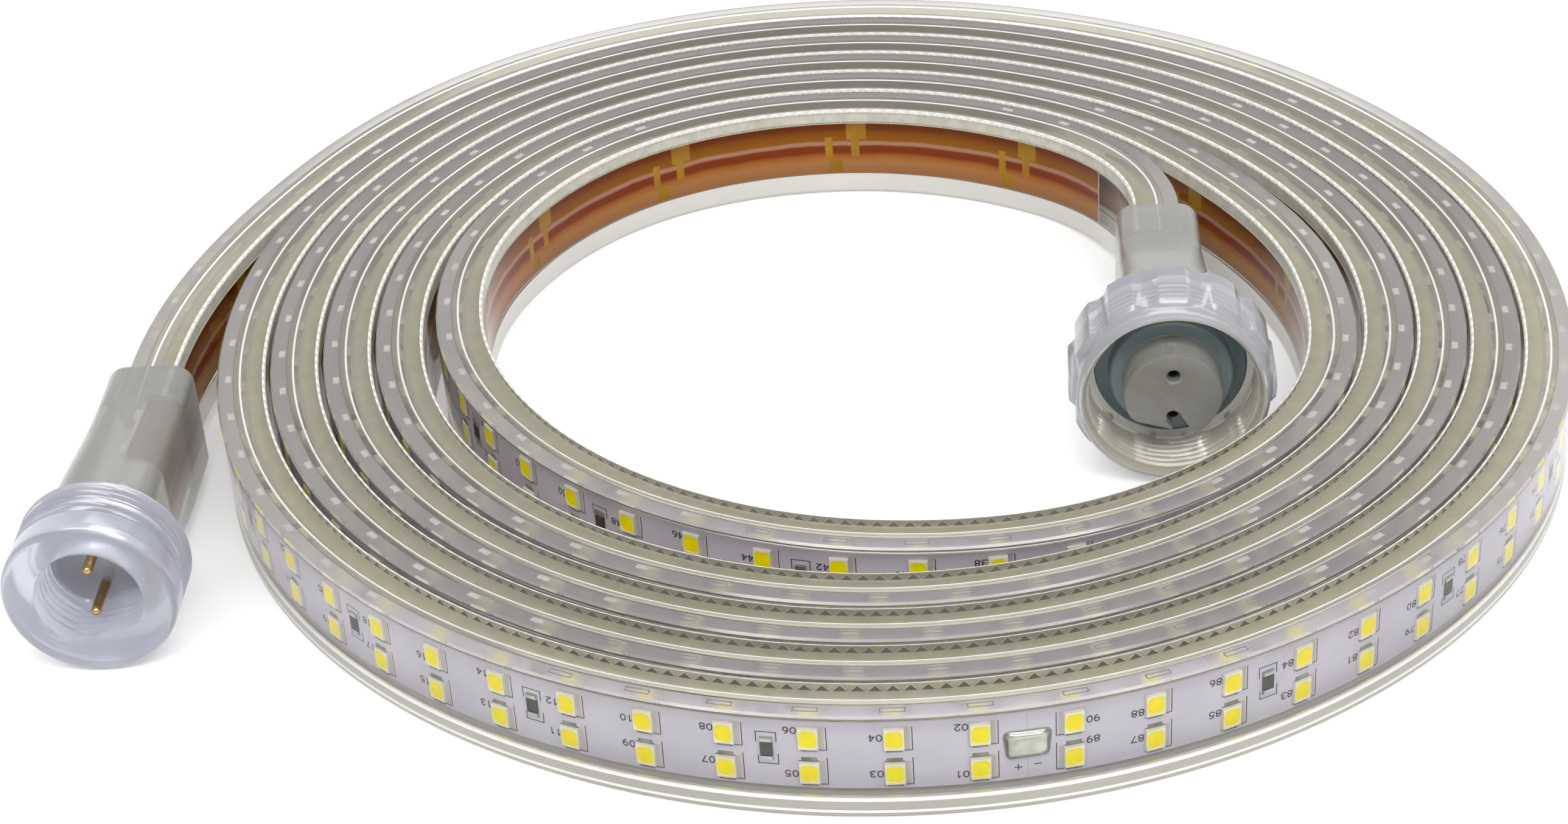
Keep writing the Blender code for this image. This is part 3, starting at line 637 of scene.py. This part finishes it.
def stroke_quads(strokes, width):
    """Flat quads for a list of straight strokes ((x0, y0), (x1, y1))."""
    verts, faces = [], []
    for (x0, y0), (x1, y1) in strokes:
        dx, dy = x1 - x0, y1 - y0
        length = math.hypot(dx, dy)
        nx, ny = -dy / length * width * 0.5, dx / length * width * 0.5
        ex, ey = dx / length * width * 0.5, dy / length * width * 0.5
        n = len(verts)
        verts += [(x0 - ex - nx, y0 - ey - ny), (x1 + ex - nx, y1 + ey - ny),
                  (x1 + ex + nx, y1 + ey + ny), (x0 - ex + nx, y0 - ey + ny)]
        faces.append((n, n + 1, n + 2, n + 3))
    verts = np.column_stack([np.array(verts), np.full(len(verts), BOARD_Z + 0.03)])
    return verts, np.array(faces)


def arc(cx, cy, rx, ry, start, end, steps):
    turns = np.radians(np.linspace(start, end, steps + 1))
    return [(cx + rx * math.cos(a), cy + ry * math.sin(a)) for a in turns]


DIGITS = {
    "0": [arc(0.5, 0.5, 0.5, 0.5, 90, 450, 12)],
    "1": [[(0.25, 0.8), (0.55, 1.0), (0.55, 0.0)]],
    "2": [arc(0.5, 0.7, 0.45, 0.3, 170, -40, 7) + [(0.0, 0.0), (1.0, 0.0)]],
    "3": [arc(0.48, 0.75, 0.42, 0.25, 150, -90, 7) + arc(0.48, 0.25, 0.52, 0.25, 90, -150, 7)],
    "4": [[(0.75, 0.0), (0.75, 1.0), (0.0, 0.3), (1.0, 0.3)]],
    "5": [[(0.95, 1.0), (0.15, 1.0), (0.1, 0.55)] + arc(0.48, 0.33, 0.52, 0.33, 115, -150, 8)],
    "6": [arc(0.5, 0.3, 0.48, 0.3, 90, 450, 10), arc(0.75, 0.45, 0.72, 0.55, 100, 185, 4)],
    "7": [[(0.0, 1.0), (1.0, 1.0), (0.35, 0.0)]],
    "8": [arc(0.5, 0.76, 0.42, 0.24, 90, 450, 10), arc(0.5, 0.26, 0.5, 0.26, 90, 450, 10)],
    "9": [arc(0.5, 0.7, 0.48, 0.3, 90, 450, 10), arc(0.25, 0.55, 0.72, 0.55, -80, 5, 4)]}


def number_strokes(text, width, height, gap):
    """Strokes of a number about its own middle, turned upside down."""
    total = len(text) * width + (len(text) - 1) * gap
    strokes = []
    for n, digit in enumerate(text):
        x0 = -0.5 * total + n * (width + gap)
        for line in DIGITS[digit]:
            line = [(-(x0 + x * width), -((y - 0.5) * height)) for x, y in line]
            strokes += [(a, b) for a, b in zip(line, line[1:]) if math.dist(a, b) > 0.01]
    return strokes


# How far each number stands above the middle of its LED
TEXT_RISE = {1: -0.9, 2: 1.2, 3: -0.2, 4: 0.1, 5: -0.4, 6: 1.1, 7: 0.7, 8: 0.5, 89: 2.1, 90: -0.2}


def build_ink(resistors):
    """Thin printed lines round the LEDs and resistors, and plain numbers beside them."""
    all_verts, all_faces, count = [], [], 0

    def add(verts, faces, anchors):
        nonlocal count
        world, blocks = stamped(verts, [faces], anchors)
        all_verts.append(world)
        all_faces.append(blocks[0] + count)
        count += len(world)

    upper = [((2.35, 1.75), (2.35, -1.95)), ((-1.3, -1.95), (2.35, -1.95))]
    lower = [((2.35, 2.4), (2.35, -1.8)), ((-1.3, -1.95), (2.35, -1.95)),
             ((-1.3, 1.85), (1.3, 1.85))]
    for side, lines in ((1, upper), (-1, lower)):
        verts, faces = stroke_quads(lines, 0.13)
        add(verts, faces, [(s, MID + side * ROW, 0.0) for s, c in COLUMNS if c < LAST])
        mirrored = [((-x0, y0), (-x1, y1)) for (x0, y0), (x1, y1) in lines]
        verts, faces = stroke_quads(mirrored, 0.13)
        add(verts, faces, [(s, MID + side * ROW, 0.0) for s, c in COLUMNS if c == LAST])
    bracket = [((-1.35, 1.0), (-1.35, 2.6)), ((-1.35, 2.6), (1.35, 2.6)),
               ((1.35, 2.6), (1.35, 1.1)), ((-1.15, -1.4), (-1.15, -2.6)),
               ((-1.15, -2.6), (1.5, -2.6)), ((1.5, -2.6), (1.5, -1.0))]
    verts, faces = stroke_quads(bracket, 0.14)
    add(verts, faces, resistors)
    for s, c in COLUMNS:
        for side, number in ((-1, 2 * c + 1), (1, 2 * c + 2)):
            strokes = number_strokes("%02d" % number, 0.68, 1.0, 0.3)
            verts, faces = stroke_quads(strokes, 0.17)
            rise = TEXT_RISE.get(number, TEXT_RISE[1 + number % 8])
            shift = -2.4 if c < LAST else 2.6
            add(verts, faces, [(s + shift, MID + side * ROW + rise, 0.0)])
    mesh_object("board_print", np.vstack(all_verts), [np.vstack(all_faces)], [INK], smooth=False)


def flat_quads(rects, z):
    """Flat rectangles (x0, y0, x1, y1) at one depth, facing inward."""
    verts, faces = [], []
    for x0, y0, x1, y1 in rects:
        n = len(verts)
        verts += [(x0, y0, z), (x0, y1, z), (x1, y1, z), (x1, y0, z)]
        faces.append((n, n + 1, n + 2, n + 3))
    return np.array(verts), np.array(faces)


def build_windows(resistors):
    """Places on the back without copper, where the amber film shows yellow."""
    rects = [(-2.0, 9.6, 1.7, 13.6), (-0.6, 6.2, 0.9, 9.7), (4.3, 5.6, 5.7, 10.2),
             (2.6, 3.2, 5.0, 5.8)]
    anchors = [(s, 0.0, 0.0) for s, _, _ in resistors]
    scatter("film_windows", flat_quads(rects, BOARD_Z - BOARD_T - 0.03), anchors, YELLOW)


RIB_HALF, RIB_BASE, RIB_TIP = 0.85, 14.1, 15.9
RIB_OUT, RIB_BACK = -3.30, -3.38      # light side and rear of the ribs, from the centre line
GROUND_LOW, GROUND_HIGH = 14.2, 16.2
LINE_HALF, LINE_LOW, LINE_HIGH = 1.2, 14.0, 16.15


def build_ribs():
    """Crossed ribs at the inner wall of the strip, above the board: their dark and light sides,
    painted shade and painted light, and pale sheets behind and above them, painted scattered light.
    """
    outline = [(-RIB_HALF, RIB_BASE), (RIB_HALF, RIB_BASE), (0.0, RIB_TIP)]
    verts = [(x, y, z) for z in (RIB_OUT, RIB_BACK) for x, y in outline]
    front = np.array([(0, 1, 2)])
    rear = np.array([(3, 5, 4)])
    sides = np.array([(0, 3, 4, 1), (1, 4, 5, 2), (2, 5, 3, 0)])
    places = [(s, 0.0, 0.0) for s in np.arange(2.0, LENGTH - 2.0, RIB_PITCH)]
    world, blocks = stamped(verts, [front, rear, sides], places)
    ids = np.concatenate([np.full(len(block), kind) for block, kind in zip(blocks, (0, 1, 1))])
    mesh_object("rib_shades", world, blocks, [RIB_PAINTED_SHADE, RIB_PAINTED_LIGHT], ids=ids, smooth=False)
    # painted scattered light: a pale sheet behind the ribs and one above the board
    s = np.concatenate([np.arange(1.5, LENGTH - 1.5, 2.0), [LENGTH - 1.5]])
    near, far = RIB_BACK - 0.03, RIB_BACK - 0.08
    ground = np.array([(GROUND_LOW, near), (GROUND_HIGH, near), (GROUND_HIGH, far),
                       (GROUND_LOW, far)])
    verts, polys = sweep_strip(ground, s)
    ids = np.concatenate([np.tile([0, 1, 1, 1], len(s) - 1), [1, 1]])
    mesh_object("rib_painted_scatter", verts, polys, [RIB_PAINTED_SCATTER, RIB_PAINTED_SCATTER_REAR], ids=ids, angle=40)
    low, high, board_back_z = 13.78, 13.81, BOARD_Z - BOARD_T
    roof = np.array([(low, board_back_z), (high, board_back_z), (high, near), (low, near)])
    verts, polys = sweep_strip(roof, s)
    mesh_object("painted_scatter_roof", verts, polys, [PAINTED_SCATTER_ROOF], angle=40)
    lines = [((side * LINE_HALF, LINE_LOW), (0.0, LINE_HIGH)) for side in (-1, 1)]
    verts, faces = stroke_quads(lines, 0.20)
    verts[:, 2] = RIB_OUT + 0.02
    scatter("rib_painted_light_lines", (verts, faces), places, RIB_PAINTED_LIGHT)


ACROSS = 0.88                         # the strip runs across the view from here up
SIDE_Y, SIDE_X = 60.0, 90.0           # where the squares at the sides end


def build_led_tops():
    """Painted see-through images of the LED packages, just under the top: dark outlines, painted
    shade, in front, and white squares at the sides.
    """
    anchors = np.array([(s, 0.0, 0.0) for s, _ in COLUMNS if 3.0 < s < LENGTH - 3.0])
    spot = place(anchors) / MM
    ahead_of = place(anchors + np.array([1.0, 0.0, 0.0])) / MM - spot
    crosswise = np.abs(ahead_of[:, 0]) > ACROSS
    front = crosswise & (spot[:, 1] < 0.0)
    side = ~crosswise & ((spot[:, 1] < SIDE_Y) | (np.abs(spot[:, 0]) > SIDE_X))
    outline = [((-1.6, 1.8), (1.6, 1.8)), ((1.6, 1.8), (1.6, 2.6)), ((1.6, 2.6), (-1.6, 2.6)),
               ((-1.6, 2.6), (-1.6, 1.8))]
    for name, strokes, width, chosen, colour in (
            ("painted_led_outlines", outline, 0.17, front, SHADE),
            ("painted_led_squares", [((-0.5, 1.95), (0.5, 1.95))], 0.95, side, LED_BODY)):
        verts, faces = stroke_quads(strokes, width)
        verts = np.column_stack([verts[:, 0], np.full(len(verts), STRIP_H - 0.05), verts[:, 1]])
        scatter(name, (verts, faces[:, ::-1]), anchors[chosen], colour)


def build_joints():
    """Soldered joints between the board's segments: a rounded run of solder over the cut."""
    wide, tall, corner, thick = 6.2, 4.5, 0.9, 0.95
    places = [JOINT_S + k * CUT for k in SEGMENTS]
    places = [s for s in places if BOARD_START + 5 < s < LENGTH - 5]
    rows, cols = 8, 28
    verts = []
    for k in range(rows):
        u = k / rows
        inset = 1.3 * (1 - math.cos(0.5 * math.pi * u))
        lift = math.sin(0.5 * math.pi * min(1.2 * u, 1.0))
        outline = rounded_rect(wide - 2 * inset, tall - 2 * inset, corner, cols // 4)
        outline *= 1.0 - 0.1 * u * u
        t = np.arctan2(outline[:, 1], outline[:, 0])
        uneven = 1.0 + 0.03 * np.sin(3 * t + 0.7 * k) + 0.02 * np.sin(5 * t)
        dent = 0.22 * u * (1 - np.abs(outline[:, 1]) / 2.3)
        verts.append(np.column_stack([outline * uneven[:, None], BOARD_Z + thick * lift - dent]))
    verts.append(np.array([[0.0, 0.0, BOARD_Z + 0.66]]))
    verts = np.vstack(verts)
    quads = ring_quads(rows, cols)
    last = (rows - 1) * cols
    fan = np.array([(last + j, last + (j + 1) % cols, rows * cols) for j in range(cols)])
    anchors = [(s, MID + 0.3, 0.0) for s in places]
    scatter("joint_solder", (verts, quads, fan), anchors, SOLDER, angle=60)
    for name, strokes, width, ink in (
            ("joint_print", [((-1.7, -3.5), (-0.8, -3.5)), ((-1.25, -3.95), (-1.25, -3.05)),
                             ((0.9, -3.3), (1.8, -3.3))], 0.15, INK),
            ("joint_cuts", [((0.0, 1.8), (0.0, 5.35)), ((0.0, -1.8), (0.0, -5.35))], 0.09, MASK)):
        scatter(name, stroke_quads(strokes, width), [(s, MID, 0.0) for s in places], ink)


# The connectors, in their own axes: x to the right, y up, z out of the mouth

MALE = connector_axes(MALE_MOUTH, MALE_HEADING)
FEMALE = connector_axes(FEMALE_MOUTH, FEMALE_HEADING)
KEY_TURN = math.radians(32.0)       # the keyway, from straight down towards the right
KEY_HALF, KEY_REACH = 1.2, 5.75
CONTACT_Y = 3.55                    # contacts above and below the axis
MOUTH_R, MOUTH_FLAT, MOUTH_ANGLE = 7.6, 5.9, -75.0
PLUG_R, PLUG_FLAT, PLUG_ANGLE = 7.3, 5.6, -105.0
BOOT_W, BOOT_WIDE, BOOT_CORNER, BOOT_CORNER_WIDE = 13.4, 15.2, 3.2, 4.8
AROUND = 144
THETA = np.linspace(0.0, 2.0 * math.pi, AROUND, endpoint=False)


def at(axes, points):
    origin, right, up, forward = axes
    points = np.asarray(points, float)
    return (origin + points[:, :1] * right + points[:, 1:2] * up + points[:, 2:3] * forward) * MM


def ring(radius, z, theta=None):
    """Points of one ring; radius and z may change round it."""
    theta = THETA if theta is None else theta
    radius = np.broadcast_to(radius, theta.shape)
    return np.stack([radius * np.cos(theta), radius * np.sin(theta),
                     np.broadcast_to(z, theta.shape)], -1)


def d_radius(radius, flat, flat_angle):
    """Radius of a D-shaped outline at every angle, with its corners a little rounded."""
    c = np.cos(THETA - math.radians(flat_angle))
    straight = np.where(c > 0.05, flat / np.maximum(c, 0.05), 1e3)
    k = 26.0
    return (radius ** -k + straight ** -k) ** (-1.0 / k)


def loft_body(rings, closed=False):
    """Closed body through rings: with flat ends, or joined from the last ring to the first."""
    n, m = len(rings), len(rings[0])
    verts = np.vstack(rings)
    if closed:
        return verts, outward(verts, [ring_quads(n + 1, m) % (n * m)])
    ends = np.stack([np.arange(m)[::-1], (n - 1) * m + np.arange(m)])
    return verts, outward(verts, [ring_quads(n, m), ends])


def fillet(r0, z0, r1, z1, steps):
    """Quarter round from (r0, z0) to (r1, z1), as (r, z) pairs after the first."""
    turns = [0.5 * math.pi * n / steps for n in range(1, steps + 1)]
    return [(r0 + (r1 - r0) * (1 - math.cos(t)), z0 + (z1 - z0) * math.sin(t)) for t in turns]


def thread(z, pitch, depth, low, high, fade):
    """Depth of a helical groove at height z for every angle, fading out at both ends."""
    phase = (z / pitch + THETA / (2.0 * math.pi)) % 1.0
    wave = (0.5 + 0.5 * np.cos(2.0 * math.pi * phase)) ** 0.7
    ends = np.clip((z - low) / fade, 0, 1) * np.clip((high - z) / fade, 0, 1)
    return depth * wave * ends


def build_shell():
    rings = [ring(0.6, -10.5), ring(9.0, -10.5), ring(9.6, -10.5), ring(9.6, -11.7),
             ring(9.9, -12.0), ring(11.9, -12.0), ring(12.2, -11.75)]
    for z in np.arange(-11.5, -3.4, 0.15):
        rings.append(ring(12.55 - thread(z, 1.35, 0.75, -11.4, -4.2, fade=0.7), z))
    rings.append(ring(12.55, -1.3))
    for r, z in fillet(12.55, -1.3, 11.35, 0.0, 6):
        rings.append(ring(r, z))
    bore = d_radius(MOUTH_R, MOUTH_FLAT, MOUTH_ANGLE)
    rings += [ring(9.6, 0.0), ring(bore + 0.55, 0.0), ring(bore + 0.2, -0.1), ring(bore, -0.5)]
    for n, z in enumerate((-2.6, -4.6, -6.6)):
        rings += [ring(bore - 0.12 * n, z), ring(bore - 0.12 * n - 0.1, z - 0.15)]
    rings += [ring(bore - 0.36, -8.7), ring(bore - 0.7, -9.0), ring(0.5, -9.0)]
    verts, polys = loft_body(rings)
    shell = mesh_object("clear_threaded_shell", at(MALE, verts), polys, [HARD], angle=32)
    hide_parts("threaded_shell")


def build_pins():
    theta = np.linspace(0, 2 * math.pi, 28, endpoint=False)
    for name, y in (("a", CONTACT_Y), ("b", -CONTACT_Y)):
        rings = [ring(0.72, -14.8, theta), ring(0.75, -14.7, theta), ring(0.75, -3.0, theta)]
        for n in range(1, 7):
            t = 0.5 * math.pi * n / 6.0
            rings.append(ring(max(0.75 * math.cos(t), 0.03), -2.6 + 0.8 * math.sin(t), theta))
        verts, polys = loft_body(rings)
        verts = verts + np.array([0.0, y, 0.0])
        pin = mesh_object("brass_pin_" + name, at(MALE, verts), polys, [BRASS], angle=40)
        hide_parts("contact_pin_" + name)


def boot_rings(back, front, height, neck_front):
    """Rounded block that rises from the strip to the connector, and its round neck."""
    low = 0.5 + 0.5 * BOOT_H - height
    n = AROUND // 4

    def section(width, tall, corner, centre, z):
        pts = []
        for q, (sx, sy) in enumerate(((1, 1), (-1, 1), (-1, -1), (1, -1))):
            cx, cy = sx * (0.5 * width - corner), centre + sy * (0.5 * tall - corner)
            t = 0.5 * math.pi * (q + np.linspace(0, 1, n))
            pts.append(np.stack([cx + corner * np.cos(t), cy + corner * np.sin(t),
                                 np.full(n, z)], -1))
        return np.vstack(pts)

    rings = []
    for k in range(5):
        t = 0.5 * math.pi * k / 4.0
        inset = 1.2 * (1 - math.sin(t))
        rings.append(section(BOOT_W - 2 * inset, BOOT_H - 2 * inset, BOOT_CORNER - inset, low,
                             back + 1.2 * (1 - math.cos(t))))
    straight = back + POCKET + 2.0
    for t in np.linspace(0, 1, 14):
        width = BOOT_W + (BOOT_WIDE - BOOT_W) * t
        corner = BOOT_CORNER + (BOOT_CORNER_WIDE - BOOT_CORNER) * t
        z = straight + (front - 1.0 - straight) * t
        rings.append(section(width, BOOT_H, corner, low * (1 - t * t * (3 - 2 * t)), z))
    for less, less_high, z in ((0.3, 0.3, front - 0.3), (1.0, 1.2, front)):
        rings.append(section(BOOT_WIDE - less, BOOT_H - less_high, BOOT_CORNER_WIDE, 0.0, z))
    rings += [ring(9.0, front + 0.1), ring(9.0, neck_front)]
    return rings


def build_boots():
    for name, node_name, axes, back, front, height, neck in (
            ("clear_boot_male", "male_boot", MALE, MALE_BACK, -SHELL_L - 0.3, 12.8, -10.8),
            ("clear_boot_female", "female_boot", FEMALE, FEMALE_BACK, -NUT_L - 0.4, 15.9, -11.7)):
        verts, polys = loft_body(boot_rings(back, front, height, neck))
        boot = mesh_object(name, at(axes, verts), polys, [BOOT], angle=40)
        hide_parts(node_name)


def lobes(radius, depth, count=12):
    """Radius of the nut's grip at every angle: wide lobes with narrow scallops between."""
    groove, reach = 2.4, radius - depth + 2.4
    step = 2 * math.pi / count
    off = np.abs(((THETA - 0.5 * step) % step + 0.5 * step) % step - 0.5 * step)
    inside = np.minimum(off, step - off)
    half = reach * np.sin(inside)
    cut = reach * np.cos(inside) - np.sqrt(np.maximum(groove ** 2 - half ** 2, 0.0))
    return np.where(half < groove, np.minimum(radius, cut), radius)


def build_nut():
    grip = lobes(NUT_R, 0.9)
    rings = [ring(9.9, -13.7), ring(grip - 1.3, -13.7)]
    for k in range(1, 5):
        t = 0.5 * math.pi * k / 4.0
        rings.append(ring(grip - 1.3 * (1 - math.sin(t)), -12.4 - 1.3 * math.cos(t)))
    rings.append(ring(grip, -3.4))
    for k in range(1, 6):
        u = math.sin(0.5 * math.pi * k / 5.0)
        rings.append(ring(grip + (14.55 - grip) * u, -3.4 + 1.2 * k / 5.0))
    rings += [ring(14.5, -0.9), ring(14.35, -0.35), ring(14.05, -0.05)]
    inner = len(rings)
    rings += [ring(13.75, 0.0), ring(13.45, -0.15), ring(13.2, -0.7)]
    for z in np.arange(-1.0, -10.2, -0.15):
        rings.append(ring(13.1 - thread(z, 1.25, 0.5, -10.0, -1.2, fade=0.6), z))
    rings += [ring(13.1, -11.5), ring(12.9, -11.7), ring(9.9, -11.7), ring(9.7, -11.9),
              ring(9.7, -13.5)]
    verts, polys = loft_body(rings, closed=True)
    row = np.repeat(np.arange(len(rings)), AROUND)
    ids = np.where((row >= inner) & (row < len(rings) - 3), 1, 0)
    nut = mesh_object("clear_coupling_nut", at(FEMALE, verts), polys, [HARD, KHAKI], ids=ids,
                      angle=32, body="coupling_nut")
    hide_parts("coupling_nut")


def cut_body(target, cutters):
    """Applies exact boolean cuts to the target's mesh and removes the cutters."""
    for cutter in cutters:
        modifier = target.modifiers.new("cut", "BOOLEAN")
        modifier.operation, modifier.solver, modifier.object = "DIFFERENCE", "EXACT", cutter
    bpy.context.view_layer.update()
    shape = target.evaluated_get(bpy.context.evaluated_depsgraph_get())
    mesh = bpy.data.meshes.new_from_object(shape)
    target.modifiers.clear()
    target.data = mesh
    for cutter in cutters:
        bpy.data.objects.remove(cutter, do_unlink=True)
    mesh.polygons.foreach_set("use_smooth", np.full(len(mesh.polygons), True))
    mesh.set_sharp_from_angle(angle=math.radians(32))


def build_insert():
    plug = d_radius(PLUG_R, PLUG_FLAT, PLUG_ANGLE)
    rings = [ring(4.7, -14.4), ring(5.0, -14.1), ring(5.0, -11.4), ring(11.3, -11.4),
             ring(11.6, -11.1), ring(11.6, -9.7), ring(11.3, -9.4), ring(9.5, -9.4), ring(9.3, -9.2),
             ring(9.3, -6.7), ring(9.0, -6.4), ring(plug + 0.15, -6.4), ring(plug, -6.2),
             ring(plug, -0.8), ring(plug - 0.12, -0.5), ring(plug - 0.4, -0.4)]
    verts, polys = loft_body(rings)
    insert = mesh_object("socket_block", at(FEMALE, verts), polys, [INSERT, INSERT_PAINTED_SHADE], angle=32)
    cutters = []
    theta = np.linspace(0, 2 * math.pi, 32, endpoint=False)
    for y in (CONTACT_Y, -CONTACT_Y):
        verts, polys = loft_body([ring(1.0, -8.4, theta), ring(1.0, -0.7, theta),
                                  ring(1.3, -0.35, theta), ring(1.3, 1.0, theta)])
        cutters.append(mesh_object("cut", at(FEMALE, verts + np.array([0.0, y, 0.0])), polys, [],
                                   body=None))
    c, s = math.cos(KEY_TURN), math.sin(KEY_TURN)
    keyway = ((-KEY_HALF, -KEY_REACH), (KEY_HALF, -KEY_REACH), (KEY_HALF, 0.0), (-KEY_HALF, 0.0))
    corners = np.array([(c * x - s * y, s * x + c * y - CONTACT_Y, z) for z in (-4.9, 1.0)
                        for x, y in keyway])
    verts, polys = loft_body([corners[:4], corners[4:]])
    cutters.append(mesh_object("cut", at(FEMALE, verts), polys, [], body=None))
    cut_body(insert, cutters)
    origin, forward = FEMALE[0], FEMALE[3]
    # faces deeper than 6.38 mm get the darker plastic, painted shade
    for face in insert.data.polygons:
        if (np.array(face.center) / MM - origin) @ forward < -6.38:
            face.material_index = 1
    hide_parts("socket_insert")
    contacts = []
    for y in (CONTACT_Y, -CONTACT_Y):
        verts, polys = loft_body([ring(0.96, -8.3, theta), ring(0.96, -2.0, theta),
                                  ring(0.8, -2.0, theta), ring(0.8, -8.0, theta)])
        contacts.append((verts + np.array([0.0, y, 0.0]), polys))
    shift = len(contacts[0][0])
    blocks = [np.vstack([a, b + shift]) for a, b in zip(contacts[0][1], contacts[1][1])]
    # the contacts are coloured near-black as painted shade
    mesh_object("socket_contacts", at(FEMALE, np.vstack([c[0] for c in contacts])), blocks, [CONTACT_PAINTED_SHADE],
                angle=40)


build_strip()
build_shell()
build_pins()
build_boots()
build_nut()
build_insert()
build_leds()
build_pads()
RESISTORS = build_resistors()
build_ink(RESISTORS)
build_windows(RESISTORS)
build_ribs()
build_led_tops()
build_joints()

# Stage, light and camera

floor_mesh = bpy.data.meshes.new("floor")
bm = bmesh.new()
bmesh.ops.create_grid(bm, x_segments=1, y_segments=1, size=6.0)
bm.to_mesh(floor_mesh)
bm.free()
floor = bpy.data.objects.new("floor", floor_mesh)
bpy.context.scene.collection.objects.link(floor)
floor_material, *_ = shader_material(
    "floor_white", Base_Color=(0.6, 0.6, 0.6), Roughness=0.9, Specular_IOR_Level=0.0,
    Emission_Color=(1.0, 1.0, 1.0), Emission_Strength=0.28)
floor.location.z = -0.0001
floor_mesh.materials.append(floor_material)

world = bpy.data.worlds.new("studio")
bpy.context.scene.world = world
world.use_nodes = True
sky = world.node_tree.nodes["Background"].inputs
sky["Color"].default_value = (1.0, 1.0, 1.0, 1.0)
sky["Strength"].default_value = 0.85


def area_light(name, location, target, size, power):
    data = bpy.data.lights.new(name, "AREA")
    data.shape, data.energy = "RECTANGLE", power
    data.size, data.size_y = size
    light = bpy.data.objects.new(name, data)
    light.location = location
    way = Vector(target) - Vector(location)
    light.rotation_euler = way.to_track_quat("-Z", "Y").to_euler()
    bpy.context.scene.collection.objects.link(light)


area_light("key", (0.0, -0.75, 0.95), (0, 0, 0), (1.4, 0.3), 16.0)
area_light("fill", (0.3, 0.6, 0.9), (0, 0, 0), (1.2, 0.3), 6.0)

PHOTO_W, PHOTO_H = 2576.0, 1353.0
FOCAL, CENTRE_X, CENTRE_Y = 4818.51, 1312.886, 677.009     # in the photo's pixels
SENSOR = 36.0
TILT, ROLL, DISTANCE = 0.56059955, -0.06414286, 470.255
aim = np.array((-3.025, -10.223, 0.0))
ahead = np.array((0.0, math.cos(TILT), -math.sin(TILT)))
up = np.array((0.0, math.sin(TILT), math.cos(TILT)))
right = np.array((1.0, 0.0, 0.0))
axis_x = math.cos(ROLL) * right + math.sin(ROLL) * up
axis_y = -math.sin(ROLL) * right + math.cos(ROLL) * up
camera_data = bpy.data.cameras.new("camera")
camera_data.sensor_width = SENSOR
camera_data.lens = FOCAL * SENSOR / PHOTO_W
camera_data.shift_x = (0.5 * PHOTO_W - CENTRE_X) / PHOTO_W
camera_data.shift_y = (CENTRE_Y - 0.5 * PHOTO_H) / PHOTO_W
camera_data.clip_start = 0.01
camera = bpy.data.objects.new("camera", camera_data)
matrix = Matrix([list(v) for v in (axis_x, axis_y, -ahead)]).transposed().to_4x4()
matrix.translation = Vector((aim - DISTANCE * ahead) * MM)
camera.matrix_world = matrix
bpy.context.scene.collection.objects.link(camera)
bpy.context.scene.camera = camera
bpy.context.scene.view_settings.view_transform = "Standard"
